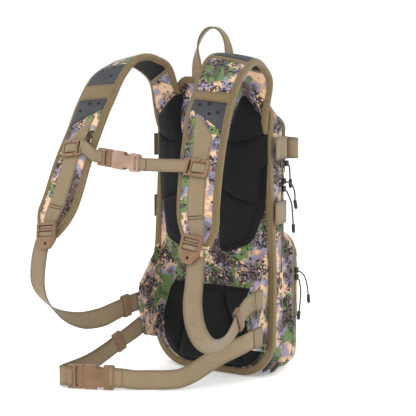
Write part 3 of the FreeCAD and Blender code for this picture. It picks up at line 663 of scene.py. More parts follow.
bags = {
    "main_compartment": {"sections": [(4.6, bagOutline(111.5, 3.5, 60, 497)),
                                      (30, bagOutline(111, 0, 54, 488)),
                                      (50, bagOutline(109, 0, 44, 462)), (58, bagOutline(105, 5, 38, 440)),
                                      (66, bagOutline(92, 22, 26, 412))],
                         "voxel": 6.0, "inset": 1.0, "cap": 2.6, "pressure": 4, "backY": 4.5, "crease": 1.5},
    "upper_pocket": {"sections": [(66.3, pocketOutline(88, 318, 408, 20)),
                                  (74, pocketOutline(94, 306, 440, 26)),
                                  (84, pocketOutline(90, 310, 436, 26)),
                                  (90, pocketOutline(74, 326, 416, 20))],
                     "voxel": 5.0, "inset": 2.0, "cap": 5.0, "pressure": 4, "backY": 65.5, "crease": 1.2},
    "lower_pocket": {"sections": [(66.3, pocketOutline(98, 6, 250, 28)), (86, pocketOutline(106, 0, 242, 30)),
                                  (104, pocketOutline(104, 2, 226, 32)),
                                  (116, pocketOutline(94, 18, 208, 30)),
                                  (122, pocketOutline(74, 44, 186, 24))],
                     "voxel": 5.5, "inset": 2.0, "cap": 5.0, "pressure": 4, "backY": 65.5, "crease": 1.6}}


def sectionAt(sections, y):
    for (y0, low), (y1, high) in zip(sections, sections[1:]):
        if y0 <= y <= y1:
            t = (y - y0) / (y1 - y0)
            return [tuple(a * (1 - t) + b * t for a, b in zip(p, q)) for p, q in zip(low, high)]
    return sections[-1][1] if y > sections[-1][0] else sections[0][1]


bagPieces, bagSurfaces = {}, {}
for nodeName, bag in bags.items():
    first, last = bag["sections"][0][0], bag["sections"][-1][0]
    verts = []
    depths = np.unique(np.concatenate([np.linspace(first, last, 9), [y for y, c in bag["sections"]]]))
    for y in depths:
        outline = roundedOutline(sectionAt(bag["sections"], y), 120)
        outline = outline - outwardOf(outline) * bag["inset"]
        verts += [(x, y, z) for x, z in outline]
    piece = addMesh(nodeName + "Canvas", verts, tubeFaces(len(depths), 120), canvas)
    remesh(piece, bag["voxel"])

    def keepClear(points, backY=bag["backY"]):
        points[:, 1] = np.maximum(points[:, 1], backY)
        points[:, 2] = np.maximum(points[:, 2], 0.4)
        return points

    inflate(piece, bag["pressure"], bag["cap"], keepClear)
    subdivide(piece)
    points, normals = meshPoints(piece), meshNormals(piece)
    folds = np.array([fractal(Vector((p[0] * 0.018, p[1] * 0.03, p[2] * 0.034)), 1.0, 2.0,
                              3) for p in points])
    ripples = np.array([noise(Vector((p[0] * 0.05 + 7, p[1] * 0.05, p[2] * 0.11))) for p in points])
    points = points + normals * (bag["crease"] * folds + 0.5 * ripples)[:, None]
    movePoints(piece, keepClear(points))
    piece.data.polygons.foreach_set("use_smooth", [True] * len(piece.data.polygons))
    place(piece, "pack", "camo_fabric", nodeName)
    bagPieces[nodeName], bagSurfaces[nodeName] = piece, surfaceOf(piece)
print("compartments made")

# back panel: canvas over the stiffener, pushed out in the middle, inside a grosgrain binding
panel = {"corners": [(120, 2.5, 64), (122, 180, 200), (112, 370, 200), (114, 447, 14), (62, 500, 14)],
         "wave": 0.5}
panelOutline = roundedOutline(mirrorCorners(panel["corners"]), 220)
panelOut = outwardOf(panelOutline)


def insideOf(points, outline):
    inside = np.zeros(len(points), bool)
    for (x0, z0), (x1, z1) in zip(outline, np.roll(outline, -1, axis=0)):
        crosses = (z0 > points[:, 1]) != (z1 > points[:, 1])
        inside ^= crosses & (points[:, 0] < (x1 - x0) * (points[:, 1] - z0) / (z1 - z0 + 1e-12) + x0)
    return inside


# depth over (x, z) points of a dome given as (inset, depth) inside an outline
def domeDepth(points, dome):
    outline = roundedOutline(mirrorCorners(dome["corners"]), 160)
    inset = np.where(insideOf(points, outline), distanceTo(points, outline, True), 0.0)
    return np.interp(inset, *zip(*dome["steps"]))


# the stuffed pack pushes the panel out between the shoulder blades
bulge = {"corners": [(104, 168, 60), (98, 462, 36)],
         "steps": [(0, 0), (6, -5.4), (12, -9.6), (22, -14.2), (32, -17.7), (52, -21.7)]}
panelBack, panelCentre = 3.9, 250
backShares = (0.3, 0.6, 0.99)
verts = [(x * share, panelBack, panelCentre + (z - panelCentre) * share) for share in backShares
         for x, z in panelOutline]
fronts = 1 - np.linspace(0, 1, 48) ** 1.15 * 0.985
for share in fronts:
    share = min(share, 0.994)
    flat = np.column_stack([panelOutline[:, 0] * share,
                            panelCentre + (panelOutline[:, 1] - panelCentre) * share])
    depth = domeDepth(flat, bulge)
    for (x, z), y in zip(flat, depth):
        lift = panel["wave"] * noise(Vector((x * 0.03, z * 0.03, 1.7)))
        pucker = 0.8 * noise(Vector((x * 0.05, z * 0.02, 9.1))) * min(1, -y / 6)
        verts.append((x, y + lift + pucker, z))
piece = addMesh("panelCanvas", verts, tubeFaces(len(backShares) + len(fronts), len(panelOutline)), canvas)
place(piece, "pack", "camo_fabric", "back_panel")
count = len(panelOutline)

# binding section: (outward from the panel's edge, depth), with two sunk stitch lines in front
section = [(-9.0, 0.2), (-9.1, -1.2), (-8.6, -1.95), (-7.4, -2.05), (-6.9, -1.55), (-6.4, -2.05),
           (-3.0, -2.1),
           (-0.8, -2.1), (-0.3, -1.6), (0.2, -2.05), (1.4, -1.95),
           (2.2, -1.2), (2.5, 0.0), (2.5, 6.4), (2.2, 7.6),
           (1.2, 8.0), (0.4, 7.6), (0.3, 4.4), (0.2, 0.6), (-4.0, 0.4)]
verts, uvs = [], []
along = runLengths(np.vstack([panelOutline, panelOutline[:1]]))
around = runLengths(np.array(section))
for i in range(count):
    for (reach, y), s in zip(section, around):
        x, z = panelOutline[i] + panelOut[i] * reach
        verts.append((x, y, max(z, 0.0)))
        uvs.append((s, along[i]))
piece = addMesh("panelBinding", verts, tubeFaces(count, len(section), True), bindingTape, uvs)
place(piece, "pack", "binding_tape", "edge_binding")
for reach in (-6.9, -0.3):
    ring = panelOutline + panelOut * reach
    ring = np.vstack([ring, ring[:1]])
    sew(np.column_stack([ring[:, 0], np.full(len(ring), -1.95), ring[:, 1]]),
        np.tile([0, -1, 0], (len(ring), 1)))
print("panel and binding made")

# back and lumbar pads: foam under spacer mesh on a stitched flange, with sewn channels
pads = {
    "back_pad_right": {"outline": [(30, 206, 12), (88, 228, 30), (108, 300, 80), (111, 360, 20),
                                   (110.5, 438, 8),
                                   (64, 481, 8), (49, 410, 50), (28, 320, 50)], "mirror": False,
                       "dome": {"corners": [(113, 150, 40), (113, 492, 30)],
                                "steps": [(0, -6), (3, -13.5), (9, -18), (16, -21.5), (34, -28.5),
                                          (56, -32.5)]},
                       "high": 33.0, "edge": 5.0, "sinkMost": 7.5, "flangeBelow": 356, "flange": 9.0,
                       "channels": [[(50, 393), (62, 394), (80, 397), (108, 409)],
                                    [(25, 322), (44, 314), (66, 302), (106, 290)]]},
    "lumbar_pad": {"outline": [(100, 13, 52), (103, 90, 60), (84, 150, 22)], "mirror": True, "high": 18.0,
                   "edge": 9.0, "sinkMost": 10.0, "flangeBelow": 400, "flange": 5.0,
                   "channels": [[(27, 152), (36, 122), (46, 95), (53, 72), (61, 45), (70, 14)],
                                [(-27, 152), (-36, 122), (-46, 95), (-53, 72), (-61, 45), (-70, 14)]]}}
pads["back_pad_left"] = dict(pads["back_pad_right"], flip=True)
channelWide, creaseWide, gridStep, footHigh = 7.0, 1.8, 2.2, 3.0


def makePad(nodeName, pad):
    corners = mirrorCorners(pad["outline"]) if pad["mirror"] else pad["outline"]
    outline = roundedOutline(corners, 220)
    outward = outwardOf(outline)
    domed = "dome" in pad
    # how far the stitched flange runs in from the edge; it fades out up the sides and along the inner edge
    reach = np.full(len(outline), pad["flange"])
    if domed:
        low = 1 / (1 + np.exp((outline[:, 1] - pad["flangeBelow"]) / 1.5))
        outerSide = 1 / (1 + np.exp((40 - outline[:, 0]) / 3))
        reach = pad["flange"] * np.maximum(low * outerSide, 0.08)
    inner = outline - outward * reach[:, None]
    spots = np.array([(x, z) for x in np.arange(outline[:, 0].min(), outline[:, 0].max(), gridStep)
                      for z in np.arange(outline[:, 1].min(), outline[:, 1].max(), gridStep)])
    spots = spots[insideOf(spots, inner) & (distanceTo(spots, inner, True) > gridStep * 0.8)]
    spots = np.vstack([inner, spots])
    ring = [(k, (k + 1) % len(inner)) for k in range(len(inner))]
    triangulated = delaunay_2d_cdt([Vector(p) for p in spots], ring, [], 1, 0.001)
    flat, tris = triangulated[0], triangulated[2]
    flat = np.array([tuple(p) for p in flat])
    far = distanceTo(flat, inner, True)
    base = domeDepth(flat, bulge) - 0.3
    crown = domeDepth(flat, pad["dome"]) if domed else np.full(len(flat), -pad["high"])
    crown = np.minimum(crown, base - 4.0)
    foot = base - footHigh
    front = foot + (crown - foot) * (1 - np.exp(-far / pad["edge"])) ** 0.8
    sink = np.zeros(len(flat))
    for line in pad["channels"]:
        curve = smoothThrough(line, 8)
        away = distanceTo(flat, curve)
        groove = 0.45 * np.exp(-(away / channelWide) ** 2) + 0.55 * np.exp(-(away / creaseWide) ** 2)
        sink = np.maximum(sink, groove)
    soft = np.array([fractal(Vector((p[0] * 0.02, 4.1, p[1] * 0.02)), 1.0, 2.0, 2) for p in flat])
    thickness = np.maximum(foot - front, 0)
    front = front + sink * np.minimum(pad["sinkMost"],
                                      0.8 * thickness) + soft * 0.9 * np.clip(thickness / 6, 0, 1)
    front = np.maximum(front, -pad["high"] - 0.4)
    count, flatCount = len(inner), len(flat)
    verts = [(x, y, z) for (x, z), y in zip(flat, front)] + [(x, y, z) for (x, z), y in zip(flat, base)]
    faces = [tuple(t) for t in tris] + [tuple(flatCount + k for k in reversed(t)) for t in tris]
    faces += [(k, (k + 1) % count, flatCount + (k + 1) % count, flatCount + k) for k in range(count)]
    piece = addMesh(nodeName + "Foam", verts, faces, spacerMesh)
    flip = pad.get("flip")
    if flip:
        movePoints(piece, mirrorX(meshPoints(piece)))
        piece.data.flip_normals()
    place(piece, "pack", "mesh_pad", nodeName)
    # flange: a flat sewn border with two rows of stitches, only where the foam stops short of the edge
    wide = np.minimum(reach + 2, 10)
    rimRows = [(1.0, -0.1), (0.0, -0.1), (0.0, -2.0), (0.12, -2.6), (0.42, -2.7), (0.5, -2.2), (0.58, -2.7),
               (1.0, -3.0)]
    rimVerts = []
    for share, y in rimRows:
        ringFlat = outline - outward * (wide * share)[:, None]
        depth = domeDepth(ringFlat, bulge)
        rimVerts += [(x, y + d, z) for (x, z), d in zip(ringFlat, depth)]
    flange = addMesh(nodeName + "Flange", rimVerts, tubeFaces(len(rimRows), len(outline), True), spacerMesh)
    if flip:
        movePoints(flange, mirrorX(meshPoints(flange)))
        flange.data.flip_normals()
    place(flange, "pack", "mesh_pad")
    sewn = reach > pad["flange"] * 0.8
    for share in (0.28, 0.6):
        ringFlat = outline - outward * (wide * share)[:, None]
        depth = domeDepth(ringFlat, bulge)
        line = np.column_stack([ringFlat[:, 0], depth - 2.5, ringFlat[:, 1]])
        run = []
        for k in list(range(len(line))) + [0]:
            if sewn[k]:
                run.append(line[k])
            if len(run) > 2 and (not sewn[k] or k == 0 and len(run) > 3):
                sew(mirrorX(run) if flip else run, np.tile([0, -1, 0], (len(run), 1)), "black")
                run = []


for nodeName, pad in pads.items():
    makePad(nodeName, pad)
print("pads made")

# shoulder straps: foam with a canvas face and a spacer-mesh back, thinner towards the bound edges
strap = {"stations": [((66, -10, 485), (116, -9.5, 447)), ((63, -36, 520), (124, -10, 492)),
                      ((65, -64, 532), (130, -40, 517)), ((67, -90, 536), (137, -72, 525)),
                      ((69, -118, 529), (143, -105, 515)), ((73, -146, 503), (149, -138, 497)),
                      ((77, -169, 465), (153, -166, 459)), ((79, -184, 440), (156, -186, 420)),
                      ((88, -212, 372), (164, -212, 365)), ((97, -232, 306), (171, -231, 312)),
                      ((109, -241, 274), (176, -241, 283)), ((130, -250, 246), (168, -250, 252))],
         "thickMiddle": 6.3, "thickEdge": 2.8, "edgeReach": 9.0, "meshFrom": {"Right": 1.72, "Left": 0.95},
         "bindingCover": 8.0, "rootFrom": -0.8, "rootTuck": 12.0}
perStation = 16
strapInner = smoothThrough([a for a, b in strap["stations"]], perStation)
strapOuter = smoothThrough([b for a, b in strap["stations"]], perStation)
strapGrid = np.arange(len(strapInner)) / perStation
strapRun = unit(np.gradient((strapInner + strapOuter) / 2, axis=0))
strapAcross = unit(strapOuter - strapInner)
strapNormal = unit(np.cross(strapRun, strapAcross))
strapLength = runLengths((strapInner + strapOuter) / 2)


def alongStrap(table, station):
    if table.ndim == 1:
        return np.interp(station, strapGrid, table)
    return np.array([np.interp(station, strapGrid, table[:, k]) for k in range(3)])


def strapWidth(station):
    return float(np.linalg.norm(alongStrap(strapOuter, station) - alongStrap(strapInner, station)))


def halfThick(station, share):
    inset = max(0.0, min(share, 1 - share)) * strapWidth(station)
    swell = strap["thickMiddle"] - strap["thickEdge"]
    return strap["thickEdge"] + swell * (1 - math.exp(-inset / strap["edgeReach"]))


# a point at a height over the strap's middle surface; below station 0 the root runs on under the pad
def strapPoint(station, share, height=0.0):
    inner, outer = alongStrap(strapInner, station), alongStrap(strapOuter, station)
    spot = inner * (1 - share) + outer * share + alongStrap(strapNormal, station) * height
    if station < 0:
        step = (strapInner[4] - strapInner[0]) * (1 - share) + (strapOuter[4] - strapOuter[0]) * share
        spot = spot + step * station / strapGrid[4] + [0, strap["rootTuck"] * station ** 2, 0]
    return spot


# closed layer lying on the strap's face; slants move the outer side of each end further along
def strapLayer(name, start, end, share0, share1, lift0, lift1, material, sign, slant0=0.0, slant1=0.0, face=1,
               rowStep=0.08, wave=0.0):
    rows = max(3, int((end - start) / rowStep))
    shares = np.linspace(share0, share1, 13)
    verts, uvs = [], []
    for i in range(rows + 1):
        t = i / rows
        endEase = 0.35 if i in (0, rows) else 1.0
        ring = []
        for j, share in enumerate(shares):
            v = (share - share0) / (share1 - share0)
            station = (start + slant0 * v) * (1 - t) + (end + slant1 * v) * t
            ease = endEase * (0.5 if j in (0, 12) else 1.0)
            bumpy = wave * noise(Vector((station * 1.9, share * 3, 0.4)))
            high = lift0 + (lift1 - lift0) * ease + bumpy
            base = halfThick(station, share)
            ring.append((strapPoint(station, share, face * (base + high)), station, share))
        for j, share in reversed(list(enumerate(shares))):
            station = ring[j][1]
            ring.append((strapPoint(station, share, face * (halfThick(station, share) + lift0)),
                         station, share))
        for spot, station, share in ring:
            verts.append(spot)
            uvs.append((share * 77, float(alongStrap(strapLength, station))))
    verts = np.array(verts) * [sign, 1, 1]
    return addMesh(name, verts, tubeFaces(rows + 1, 26), material, uvs)


def makeStrap(side, sign):
    shares = np.concatenate([[0.0, 0.02, 0.05], np.linspace(0.1, 0.9, 11), [0.95, 0.98, 1.0]])
    stations = np.linspace(strap["rootFrom"], 11, 114)
    verts, faceMaterials = [], []
    around = 2 * len(shares) - 2
    for station in stations:
        soft = 0.5 * noise(Vector((station * 0.8, 2.2, sign)))
        for share in shares:
            lift = halfThick(station, share) * (0.5 if share in (0, 1) else 1) + soft * 0.4
            verts.append(strapPoint(station, share, lift))
        for share in shares[-2:0:-1]:
            puff = 0.7 * noise(Vector((station * 1.7, share * 3.1, 5.5 + sign)))
            verts.append(strapPoint(station, share, -halfThick(station, share) + puff))
    for i in range(len(stations) - 1):
        for j in range(around):
            under = j >= len(shares) - 1
            faceMaterials.append(1 if under and stations[i] > strap["meshFrom"][side] else 0)
    verts = np.array(verts) * [sign, 1, 1]
    piece = addMesh("strapFoam" + side, verts, tubeFaces(len(stations), around), [canvas, spacerMesh], None,
                    faceMaterials + [0, 0])
    place(piece, "pack", "camo_fabric", "shoulder_strap_" + side.lower())

    # edge binding: down the outer edge, round the lower end, up the inner edge
    path = [(1.0, s, 1.0, 0.0) for s in np.linspace(strap["rootFrom"], 10.8, 134)]
    path += [(0.97, 10.93, 0.75, 0.65), (0.86, 11.0, 0.3, 0.95)]
    path += [(u, 11.0, 0.0, 1.0) for u in (0.7, 0.5, 0.3)]
    path += [(0.14, 11.0, -0.3, 0.95), (0.03, 10.93, -0.75, 0.65)]
    path += [(0.0, s, -1.0, 0.0) for s in np.linspace(10.8, strap["rootFrom"], 134)]
    cover = strap["bindingCover"]
    profile = [(-cover, 0.1), (-cover + 0.3, 0.9), (-5.9, 1.0), (-5.4, 0.6), (-4.9, 1.05), (-2.9, 1.05),
               (-2.4, 0.65),
               (-1.9, 1.0), (-0.6, 0.8)]
    verts, uvs, rows = [], [], {-5.4: [], -2.4: []}
    normals, travelled, previous = [], 0.0, None
    for u, s, du, ds in path:
        edge, normal = strapPoint(s, u), alongStrap(strapNormal, s)
        outward = unit(alongStrap(strapAcross, s) * du + alongStrap(strapRun, s) * ds)
        width = strapWidth(s)
        travelled += 0 if previous is None else float(np.linalg.norm(edge - previous))
        previous = edge
        ring = []
        for reach, lift in profile:
            inset = min(-reach, width / 2)
            swell = (strap["thickMiddle"] - strap["thickEdge"]) * (1 - math.exp(-inset / strap["edgeReach"]))
            high = strap["thickEdge"] + swell + lift
            ring.append((reach, high))
            if reach in rows:
                rows[reach].append(edge + outward * reach + normal * (high + 0.3))
        ring += [(0.5, 2.4), (0.95, 1.1), (1.1, 0.0)]
        ring += [(r, -h) for r, h in reversed(ring[:-1])]
        for k, (reach, high) in enumerate(ring):
            verts.append(edge + outward * reach + normal * high)
            uvs.append((k * 1.4, travelled))
        normals.append(normal)
    around = len(ring)
    piece = addMesh("strapBinding" + side, np.array(verts) * [sign, 1, 1], tubeFaces(len(path), around),
                    bindingTape, uvs)
    place(piece, "pack", "binding_tape")
    for line in rows.values():
        sew(np.array(line) * [sign, 1, 1], np.array(normals) * [sign, 1, 1])
    return piece


# what is sewn on each strap: stations from and to, slants of the two ends, hole places (station, share)
strapWork = {
    "Right": {"grips": [(2.75, 3.72, 0, 0, [(3.25, 0.52)]),
                        (5.98, 6.60, 0, 0.50, [(6.22, 0.28), (6.12, 0.50), (6.44, 0.74), (6.60, 0.55)])],
              "tapes": [(3.72, 3.98), (5.62, 5.98)], "webFrom": 6.75, "webSlant": 0.55},
    "Left": {"grips": [(4.4, 5.4, 0, 0, [(4.75, 0.7), (5.05, 0.3), (4.6, 0.4)]),
                       (6.0, 6.65, 0, 0.45, [(6.25, 0.3), (6.2, 0.55), (6.5, 0.75)])],
             "tapes": [(5.4, 6.0)], "webFrom": 6.95, "webSlant": 0.5}}


def makeStrapWork(side, sign):
    work, low = strapWork[side], side.lower()
    gripPieces, tapePieces = [], []
    for i, (start, end, slant0, slant1, holes) in enumerate(work["grips"]):
        grip = strapLayer("grip%s%d" % (side, i + 1), start, end, 0.06, 0.94, -0.3, 1.0, rubber, sign,
                          slant0, slant1)
        for k, (station, share) in enumerate(holes):
            centre = strapPoint(station, share, halfThick(station, share) + 1.02)
            normal, a = alongStrap(strapNormal, station), alongStrap(strapAcross, station)
            b = np.cross(normal, a)
            discs = [[centre + (a * math.cos(t) + b * math.sin(t)) * r + normal * h for t in
                      np.linspace(0, 2 * math.pi, 14, endpoint=False)]
                     for r, h in ((2.9, -0.3), (2.9, 0.1), (2.3, 0.12), (1.9, 0.02))]
            # painted shade: a near-black disc standing in for the hole's depth
            hole = addMesh("punched%s%d%d" % (side, i, k), np.array(discs).reshape(-1, 3) * [sign, 1, 1],
                           tubeFaces(4, 14), holeShade)
            place(hole, "pack", "grip_rubber")
        gripPieces.append(place(grip, "pack", "grip_rubber"))
    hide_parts("grip_patches_" + low)
    for i, (start, end) in enumerate(work["tapes"]):
        tapePieces.append(strapLayer("crossTape%s%d" % (side, i + 1), start, end, 0.05, 0.95, -0.2, 1.3,
                                     bindingTape, sign))
        place(tapePieces[-1], "pack", "binding_tape")
        for edge in (start + 0.05, end - 0.05):
            line = [strapPoint(edge, share, halfThick(edge, share) + 1.35)
                    for share in np.linspace(0.1, 0.9, 16)]
            sew(np.array(line) * [sign, 1, 1], np.tile(alongStrap(strapNormal, edge) * [sign, 1, 1], (16, 1)))
    meshFrom = strap["meshFrom"][side]
    under = strapLayer("underTape" + side, meshFrom - 0.12, meshFrom + 0.13, 0.06, 0.94, -0.2, 1.2,
                       bindingTape, sign, face=-1)
    place(under, "pack", "binding_tape")
    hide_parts("cross_tapes_" + low)
    # the webbing sewn down the strap, its upper end folded under on the slant
    web = strapLayer("strapWebbing" + side, work["webFrom"], 10.75, 0.29, 0.71, 0.0, 1.7, webbing, sign,
                     work["webSlant"], 0, wave=0.25)
    place(web, "pack", "webbing", "strap_webbing_" + low)
    fold = strapLayer("webbingFold" + side, work["webFrom"] - 0.02, work["webFrom"] + 0.33, 0.285,
                      0.715, 0.0, 2.7,
                      webbing, sign, work["webSlant"], work["webSlant"])
    place(fold, "pack", "webbing")
    for station in (9.35, 9.5, 10.5):
        tack = strapLayer("tack%s%d" % (side, int(station * 100)), station, station + 0.055, 0.31, 0.69, 1.6,
                          2.3, bondedThread, sign,
                          rowStep=0.02)
        place(tack, "pack", "webbing")
    for share in (0.315, 0.685):
        stations = np.linspace(work["webFrom"] + 0.6, 10.4, 60)
        line = np.array([strapPoint(s, share, halfThick(s, share) + 1.7) for s in stations])
        sew(line * [sign, 1, 1], np.array([alongStrap(strapNormal, s) for s in stations]) * [sign, 1, 1])


for side, sign in (("Right", 1), ("Left", -1)):
    makeStrap(side, sign)
    makeStrapWork(side, sign)
print("shoulder straps made")

# hip wings: canvas tabs with turned edges
wing = {"inner": 109.0, "points": [(-2, 218), (-2, 46), (-50, 58), (-66, 119), (-60, 150)]}
for side, sign in (("Right", 1), ("Left", -1)):
    outline = roundedOutline([(y, z, 3 if y == -2 else 9) for y, z in reversed(wing["points"])], 110)
    outward = outwardOf(outline)
    if np.sum(outward * (outline - outline.mean(axis=0))) < 0:
        outward = -outward
    verts = []
    for inset, x in ((30, 0.2), (14, 0.0), (4, 0.1), (0.8, 0.4), (0.0, 1.6), (0.0, 2.6),
                     (0.8, 3.6), (2.6, 3.9),
                     (3.4, 3.4), (4.4, 3.9), (14, 4.0), (30, 3.9)):
        ring = outline - outward * min(inset, 14)
        if inset > 14:
            middle = outline.mean(axis=0)
            ring = middle + (ring - middle) * 0.35
        verts += [(sign * (wing["inner"] + x), y, z) for y, z in ring]
    piece = addMesh("hipWing" + side, verts, tubeFaces(12, len(outline)), canvas)
    place(piece, "pack", "camo_fabric", "hip_wing_" + side.lower())
print("hip wings made")

# haul loop: webbing flat at its feet, folded and stitched over the top
haul = {"route": [((33, 0, 505), (9.5, 0, 0)), ((33, 0, 517), (9.5, 0, 0)), ((33, 0, 530), (8.6, 1.5, 0)),
                  ((32.4, 0, 543), (5.6, 4.0, 0)), ((29.5, 0, 557),
                                                    (2.6, 5.6, 0.6)), ((23.5, 0, 570), (0.8, 6, 0.5)),
                  ((13, 0, 580.5), (0, 6, 0)), ((0, 0, 584), (0, 6, 0))], "wide": 19.0}
rightHalf = [(np.array(c, float), np.array(a, float)) for c, a in haul["route"]]
rightHalf[0] = (np.array([33, 0, 499.0]), rightHalf[0][1])
loopRoute = rightHalf + [(c * [-1, 1, 1], a * [-1, 1, 1]) for c, a in reversed(rightHalf[:-1])]
widthShares = np.linspace(0, 1, len(loopRoute))
widthFactors = [np.linalg.norm(a) / 9.5 for c, a in loopRoute]
haulPiece = layWebbing("haulLoop", loopRoute, haul["wide"], 2.8, webbing, 8, (widthShares, widthFactors))
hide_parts("haul_loop")
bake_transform(haulPiece)
print("haul loop made")

# webbing below the ladder locks, hanging to the wings
lowerRoutes = {
    "Right": [((150.5, -260.5, 240), (1, 0, -0.1)), ((152, -264, 222), (1, 0, -0.05)),
              ((151, -266, 196), (1, 0.05, 0)),
              ((148, -265, 168), (1, 0.15, 0.05)), ((144, -253, 136), (1, 0.3, 0.15)),
              ((139, -228, 108), (1, 0.35, 0.5)), ((133, -196, 93), (0.8, 0.2, 0.9)),
              ((128, -160, 90), (0.5, 0.05, 1)), ((123, -125, 100), (0.2, -0.2, 1)),
              ((118.5, -98, 117), (0.05, -0.3, 1)), ((116, -76, 130), (0, -0.2, 1)),
              ((113.9, -58, 136), (0, -0.1, 1)), ((113.9, -34, 139), (0, 0, 1))],
    "Left": [((150.5, -260.5, 240), (1, 0, -0.1)), ((153, -265, 222), (1, 0, -0.05)),
             ((155, -268, 197), (1, 0, 0)),
             ((155, -268, 170), (1, 0.1, 0.05)), ((152, -256, 144), (1, 0.3, 0.2)),
             ((146, -228, 118), (1, 0.35, 0.6)), ((137, -188, 102), (0.7, 0.2, 0.9)),
             ((128, -147, 101), (0.4, 0, 1)), ((121, -117, 108), (0.1, -0.1, 1)),
             ((117.5, -90, 114), (0, 0, 1)), ((115.2, -66, 117), (0, 0, 1)),
             ((113.9, -50, 118), (0, 0, 1)), ((113.9, -30, 119), (0, 0, 1))]}


def keeperOn(name, centre, along, across, wide, material=None):
    along, across = unit(along), unit(across)
    across = unit(across - along * (along @ across))
    normal = np.cross(along, across)
    half = wide / 2 + 1.6
    ring = [(u * half, v * 2.6) for u, v in ((-1, 0), (-0.97, 0.8), (-0.8, 1), (0, 1.1), (0.8, 1),
                                             (0.97, 0.8), (1, 0), (0.97, -0.8), (0.8, -1), (0, -1.1), (-0.8, -1),
                                             (-0.97, -0.8))]
    rows = []
    for step, grow in ((-8, 0.0), (-8, 1.4), (-4, 1.7), (0, 1.5), (4, 1.7), (8, 1.4), (8, 0.0), (0, 0.0)):
        wider, thicker = 1 + grow / half, 1 + grow / 2.6
        rows.append([centre + along * step + across * (u * wider) + normal * (v * thicker) for u, v in ring])
    uvs = [(k * 3.0, r * 4.0) for r in range(len(rows)) for k in range(len(ring))]
    return addMesh(name, np.array(rows).reshape(-1, 3), tubeFaces(len(rows), len(ring), True),
                   material or webbing, uvs)


for side, sign in (("Right", 1), ("Left", -1)):
    route = [(np.array(c, float) * [sign, 1, 1], np.array(a, float) * [sign, 1, 1]) for c,
             a in lowerRoutes[side]]
    low = side.lower()
    piece = layWebbing("lowerWebbing" + side, route, 32.0, 1.6, webbing, 8, ripple=0.5)
    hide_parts("lower_webbing_" + low)
    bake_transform(piece)
    keeper = keeperOn("lowerKeeper" + side, route[-4][0], route[-3][0] - route[-5][0], route[-4][1], 32.0,
                      keeperWebbing)
    place(keeper, "pack", "webbing", "lower_keeper_" + low)
    # the wing end is a turned patch of webbing with a box of stitches
    for y0, y1, off in ((-50, -30, 0.8), (-44, -24, 2.2)):
        z = 139 if side == "Right" else 119
        patch = layWebbing("wingPatch%s%d" % (side, -y1), [((sign * (113.6 + off), y0, z - 1), (0, 0, 1)),
                           ((sign * (113.8 + off), (y0 + y1) / 2, z),
                            (0, 0, 1)), ((sign * (113.6 + off), y1, z), (0, 0, 1))],
                           33.0, 1.4, webbing, 6)
        place(patch, "pack", "webbing")
    box = [(sign * 116.2, y, z + h) for y, h in ((-26, 13), (-42, 13), (-42, -13), (-26, -13), (-26, 13))]
    line = np.vstack([np.linspace(a, b, 8) for a, b in zip(box, box[1:])])
    sew(line, np.tile([sign, 0, 0], (len(line), 1)))
print("lower webbing made")


# a right-handed frame: x across, y down, z out of the face; the same as the parts are placed with
class PartFrame:
    def __init__(self, origin, xAxis, down, sign=1):
        self.origin = np.array(origin, float)
        self.x = unit(xAxis)
        self.z = unit(np.cross(self.x, down))
        self.y = np.cross(self.z, self.x)
        self.sign = np.array([sign, 1, 1])

    def at(self, u, v, w):
        return (self.origin + self.x * u + self.y * v + self.z * w) * self.sign

    def way(self, u, v, w):
        return (self.x * u + self.y * v + self.z * w) * self.sign


# ladder locks: moulded acetal, with the webbing's bands showing in the two slots
lock = {"top": (143.5, -258.5, 268), "low": (152, -267.5, 229), "edge": 0.9,
        "band": ((0.5, -3.0), (2.2, -1.6), (4.5, 0.6), (6.8, -0.6), (9.0, -2.6), (11.2, -1.6), (13.0, 0.8),
                 (16.0, 1.5),
                 (18.6, 0.2), (20.5, -2.9))}
for side, sign in (("Right", 1), ("Left", -1)):
    body = "ladder_lock_" + side.lower()
    brokenEdges(body, body, "buckle_plastic", acetal, lock["edge"], 3, edgeMaterial=acetalPaintedEdgeShade)
    hold = PartFrame(lock["top"], (-1, 0.06, 0.12), np.subtract(lock["low"], lock["top"]), sign)
    layBand("lockBand" + side, lambda v, w: hold.at(0, v, w), hold.way(1, 0, 0), lock["band"], 29.0,
            1.3, webbing,
            body)
print("ladder locks made")


# the strap's straight-run surface that the sliders were placed on
stationInner = np.array([a for a, b in strap["stations"]], float)
stationOuter = np.array([b for a, b in strap["stations"]], float)
stationMiddle = (stationInner + stationOuter) / 2
stationRun = np.array([stationMiddle[min(i + 1, 11)] - stationMiddle[max(i - 1, 0)] for i in range(12)])
stationNormal = unit(np.cross(stationRun, stationOuter - stationInner))


def onStrap(station, share, height=0.0):
    surface = stationInner * (1 - share) + stationOuter * share + stationNormal * height
    return np.array([np.interp(station, range(12), surface[:, k]) for k in range(3)])


